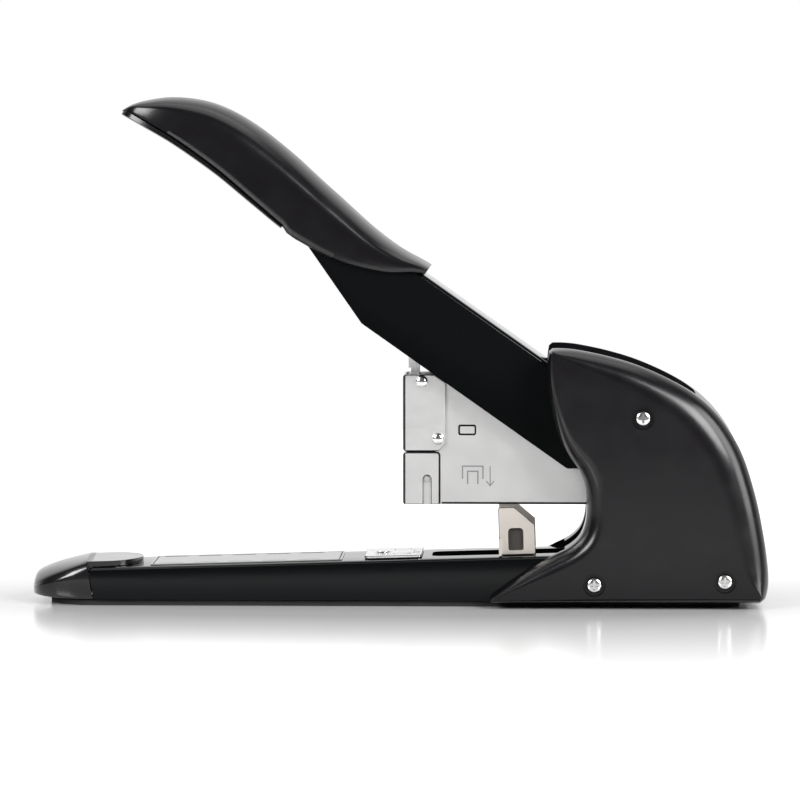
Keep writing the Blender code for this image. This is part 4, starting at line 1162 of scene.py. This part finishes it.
def feed_spring():
    """The coil behind the staple pusher, which the pusher flattens as it goes back, drawn between
    the pusher and the rail's end.
    """
    wire, radius, turns = 0.6, 2.6, 10
    start = PUSHER_REAR + GAP
    end = RAIL_REAR - 1.0 - GAP
    standing = coil(radius, wire, end - start, turns, 24)
    made = wire_mesh([(start + z, y, ROD_HEIGHT + x) for x, y, z in standing], wire)
    feed = piece("feed_spring", made, "head", "steel", "pusher_spring", edge=0)
    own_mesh(feed)


def pad():
    """The non-slip sole, rounded to the toe's plan at its front."""
    half = BASE_HALF - 1.5
    front, rear = -137.0, 133.0
    corners = [(front, -half, 18.0), (rear, -half, 5.0), (rear, half, 5.0), (front, half, 18.0)]
    made = flat(rounded(corners, 16), 0.0, 2.1)
    piece("rubber_sole", made, "base", "rubber", "rubber_pad", edge=0.4)


def pivot_pins():
    """Headed cross pins through both sides of the rear frame."""
    inner = FRAME_HALF + GAP
    outer = inner + 1.4
    for word, (x, z), radius in (("handle", HANDLE_PIVOT, 3.9), ("head", HEAD_PIVOT, 2.9)):
        head = radius + 1.6
        half = [(0.0, outer), (head - 0.5, outer), (head, inner + 0.9), (head, inner)]
        half.append((radius, inner))
        profile = half + [(r, -h) for r, h in reversed(half)]
        made = turned(profile, (x, 0.0, z), (0, 1, 0), 64)
        name = f"{word}_pivot_pin"
        piece(f"turned_{name}", made, "base", "zinc", name, edge=0.15)


def anvil_stud():
    """The domed rivet that holds the anvil, with its closed head under the plate."""
    seat = 1.0 + 2 * GAP
    profile = []
    for radius, height in ((0.0, 0.7), (1.2, 0.66), (2.2, 0.52), (3.0, 0.32), (3.4, 0.1)):
        profile.append((radius, seat + height))
    profile += [(3.4, seat), (2.0, seat), (2.0, -1.9), (3.4, -1.9), (3.4, -2.6), (0.0, -2.6)]
    made = turned(profile, (ANVIL_RIVET, 0.0, plate_top(ANVIL_RIVET)), (0, 0, 1), 48)
    piece("anvil_stud", made, "base", "chrome", "anvil_rivet", edge=0.1)


def blade_hole():
    """A cutter for the rivet that joins the driver to the post."""
    height, radius = BLADE_HOLE
    return rod((0, 0, height), (20, 0, height), radius, 24)


def plunger():
    """The post that the handle presses: a head wider than its shank, and a score down each side."""
    low, high = POST_X
    shank = 4.6
    corner = POST_TOP - 0.8
    outline = [(shank, 80.0), (high, 80.0), (high, corner), (high - 0.8, POST_TOP)]
    outline += [(low + 0.8, POST_TOP), (low, corner), (low, 92.2), (shank, 92.2)]
    scores = []
    for side in (-1, 1):
        near, far = between(side, 3.8, 5.0)
        scores.append(block((high - 1.1, near, 81.0), (high - 0.8, far, POST_TOP - 1.5)))
    made = cut(upright(outline, -4.0, 4.0), blade_hole(), *scores)
    piece("press_post", made, "plunger", "drawn", "plunger_post", "chrome", edge=0.15)


def driver():
    """The blade that pushes the staples out, with a narrower neck at the post."""
    low, high = 3.2, 4.2
    blade = block((low, -6.2, 60.5), (high, 6.2, 84.0))
    neck = block((low, -4.0, 83.0), (high, 4.0, 89.2))
    made = cut(join(blade, neck), blade_hole())
    piece("driver_sheet", made, "plunger", "steel", "driver_blade", edge=0.1)


def stop_saddle():
    """The black slider between the depth stop's legs."""
    outer = STOP_LEG_INNER - GAP
    top = 11.6
    solid = block((-4.4, -outer, 1.8), (4.4, outer, top), bevel=0.4)
    room = block((-10.0, -12.6, 3.6), (10.0, 12.6, top + 5))
    made = cut(solid, room)
    fit = {"slot": "matte_plastic", "at": STOP}
    piece("stop_saddle", made, "depth_stop", "stop_plastic", "stop_slider", **fit)


handle_spring()
lift_spring()
feed_spring()
pad()
pivot_pins()
anvil_stud()
plunger()
driver()
stop_saddle()


# Carried-over nodes


def carry_over():
    """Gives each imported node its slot's finish, and welds it and rounds its sharp edges."""
    slots = {row["node"]: row["material_slot"] for row in frame["record"]["subparts"]}
    for name, obj in NODES.items():
        obj.data.materials.clear()
        obj.data.materials.append(LOOKS[slots[name]])
        weld = obj.modifiers.new("weld", "WELD")
        weld.merge_threshold = 0.01 * MM
        edge_bevel(obj, 0.12, 2, 40.0)


carry_over()


# Stage


def look_at(obj, place, aim):
    """Puts a camera or light at a place, turned towards its aim."""
    obj.location = place
    obj.rotation_euler = (Vector(aim) - Vector(place)).to_track_quat("-Z", "Y").to_euler()


def camera():
    """A long lens at the photograph's viewing angle."""
    data = bpy.data.cameras.new("camera")
    assign(data, lens=218.0, sensor_width=36.0, clip_start=0.05, clip_end=50.0)
    obj = linked("camera", data)
    look_at(obj, CAMERA_AT, CAMERA_AIM)
    bpy.context.scene.camera = obj


def area_light(name, at, size, power):
    """A rectangular soft light turned to the object."""
    data = bpy.data.lights.new(name, "AREA")
    assign(data, shape="RECTANGLE", size=size[0], size_y=size[1], energy=power)
    look_at(linked(name, data), at, CENTRE)


def world():
    """A white backdrop behind the object and a dim room elsewhere, all white to the camera."""
    made = bpy.data.worlds.new("studio")
    made.use_nodes = True
    g = Nodes(made.node_tree)
    split = g.node("ShaderNodeSeparateXYZ")
    g.link(g.node("ShaderNodeTexCoord").outputs["Generated"], split.inputs[0])
    smooth = {"value": split.outputs["Y"], "interpolation_type": "SMOOTHSTEP"}
    behind = g.ranged(low=ROOM_LEVEL, high=1.0, start=0.1, end=0.6, **smooth)
    front_side = g.ranged(low=ROOM_LEVEL, high=FRONT_LEVEL, start=-0.55, end=-0.95, **smooth)
    seen = g.node("ShaderNodeLightPath").outputs["Is Camera Ray"]
    strength = g.math("MAXIMUM", g.math("MAXIMUM", behind, front_side), seen)
    background = g.tree.nodes["Background"]
    background.inputs["Color"].default_value = (1.0, 1.0, 1.0, 1.0)
    g.link(strength, background.inputs["Strength"])
    bpy.context.scene.world = made


def floor():
    """A pale glossy floor that glows more towards its edges, to meet the backdrop."""
    bm = bmesh.new()
    bmesh.ops.create_grid(bm, x_segments=2, y_segments=2, size=1.0)
    left, right, front_edge, back_edge = FLOOR_EDGES
    middle = Matrix.Translation(((left + right) / 2, (front_edge + back_edge) / 2, 0.0))
    scale = Matrix.Diagonal(((right - left) / 2, (back_edge - front_edge) / 2, 1.0, 1.0))
    bmesh.ops.transform(bm, matrix=middle @ scale, verts=bm.verts)
    mesh = bpy.data.meshes.new("floor")
    bm.to_mesh(mesh)
    bm.free()
    obj = linked("floor", mesh)
    g = Graph("floor")
    white = (1.0, 1.0, 1.0, 1.0)
    g.set(Base_Color=(0.6, 0.6, 0.6, 1.0), Specular_IOR_Level=0.5, Emission_Color=white)
    g.feed(g.ranged(g.noise(scale=3.0), low=0.14, high=0.18), "Roughness")
    distance = g.node("ShaderNodeVectorMath", operation="LENGTH")
    g.link(g.stretched((0.35, 1.0, 0.0)), distance.inputs[0])
    glow = g.ranged(distance.outputs["Value"], low=0.0, high=0.6, start=0.06, end=0.26)
    g.feed(glow, "Emission Strength")
    mesh.materials.append(g.material)


camera()
world()
floor()
for light in LIGHTS:
    area_light(*light)
bpy.context.scene.view_settings.view_transform = "Standard"
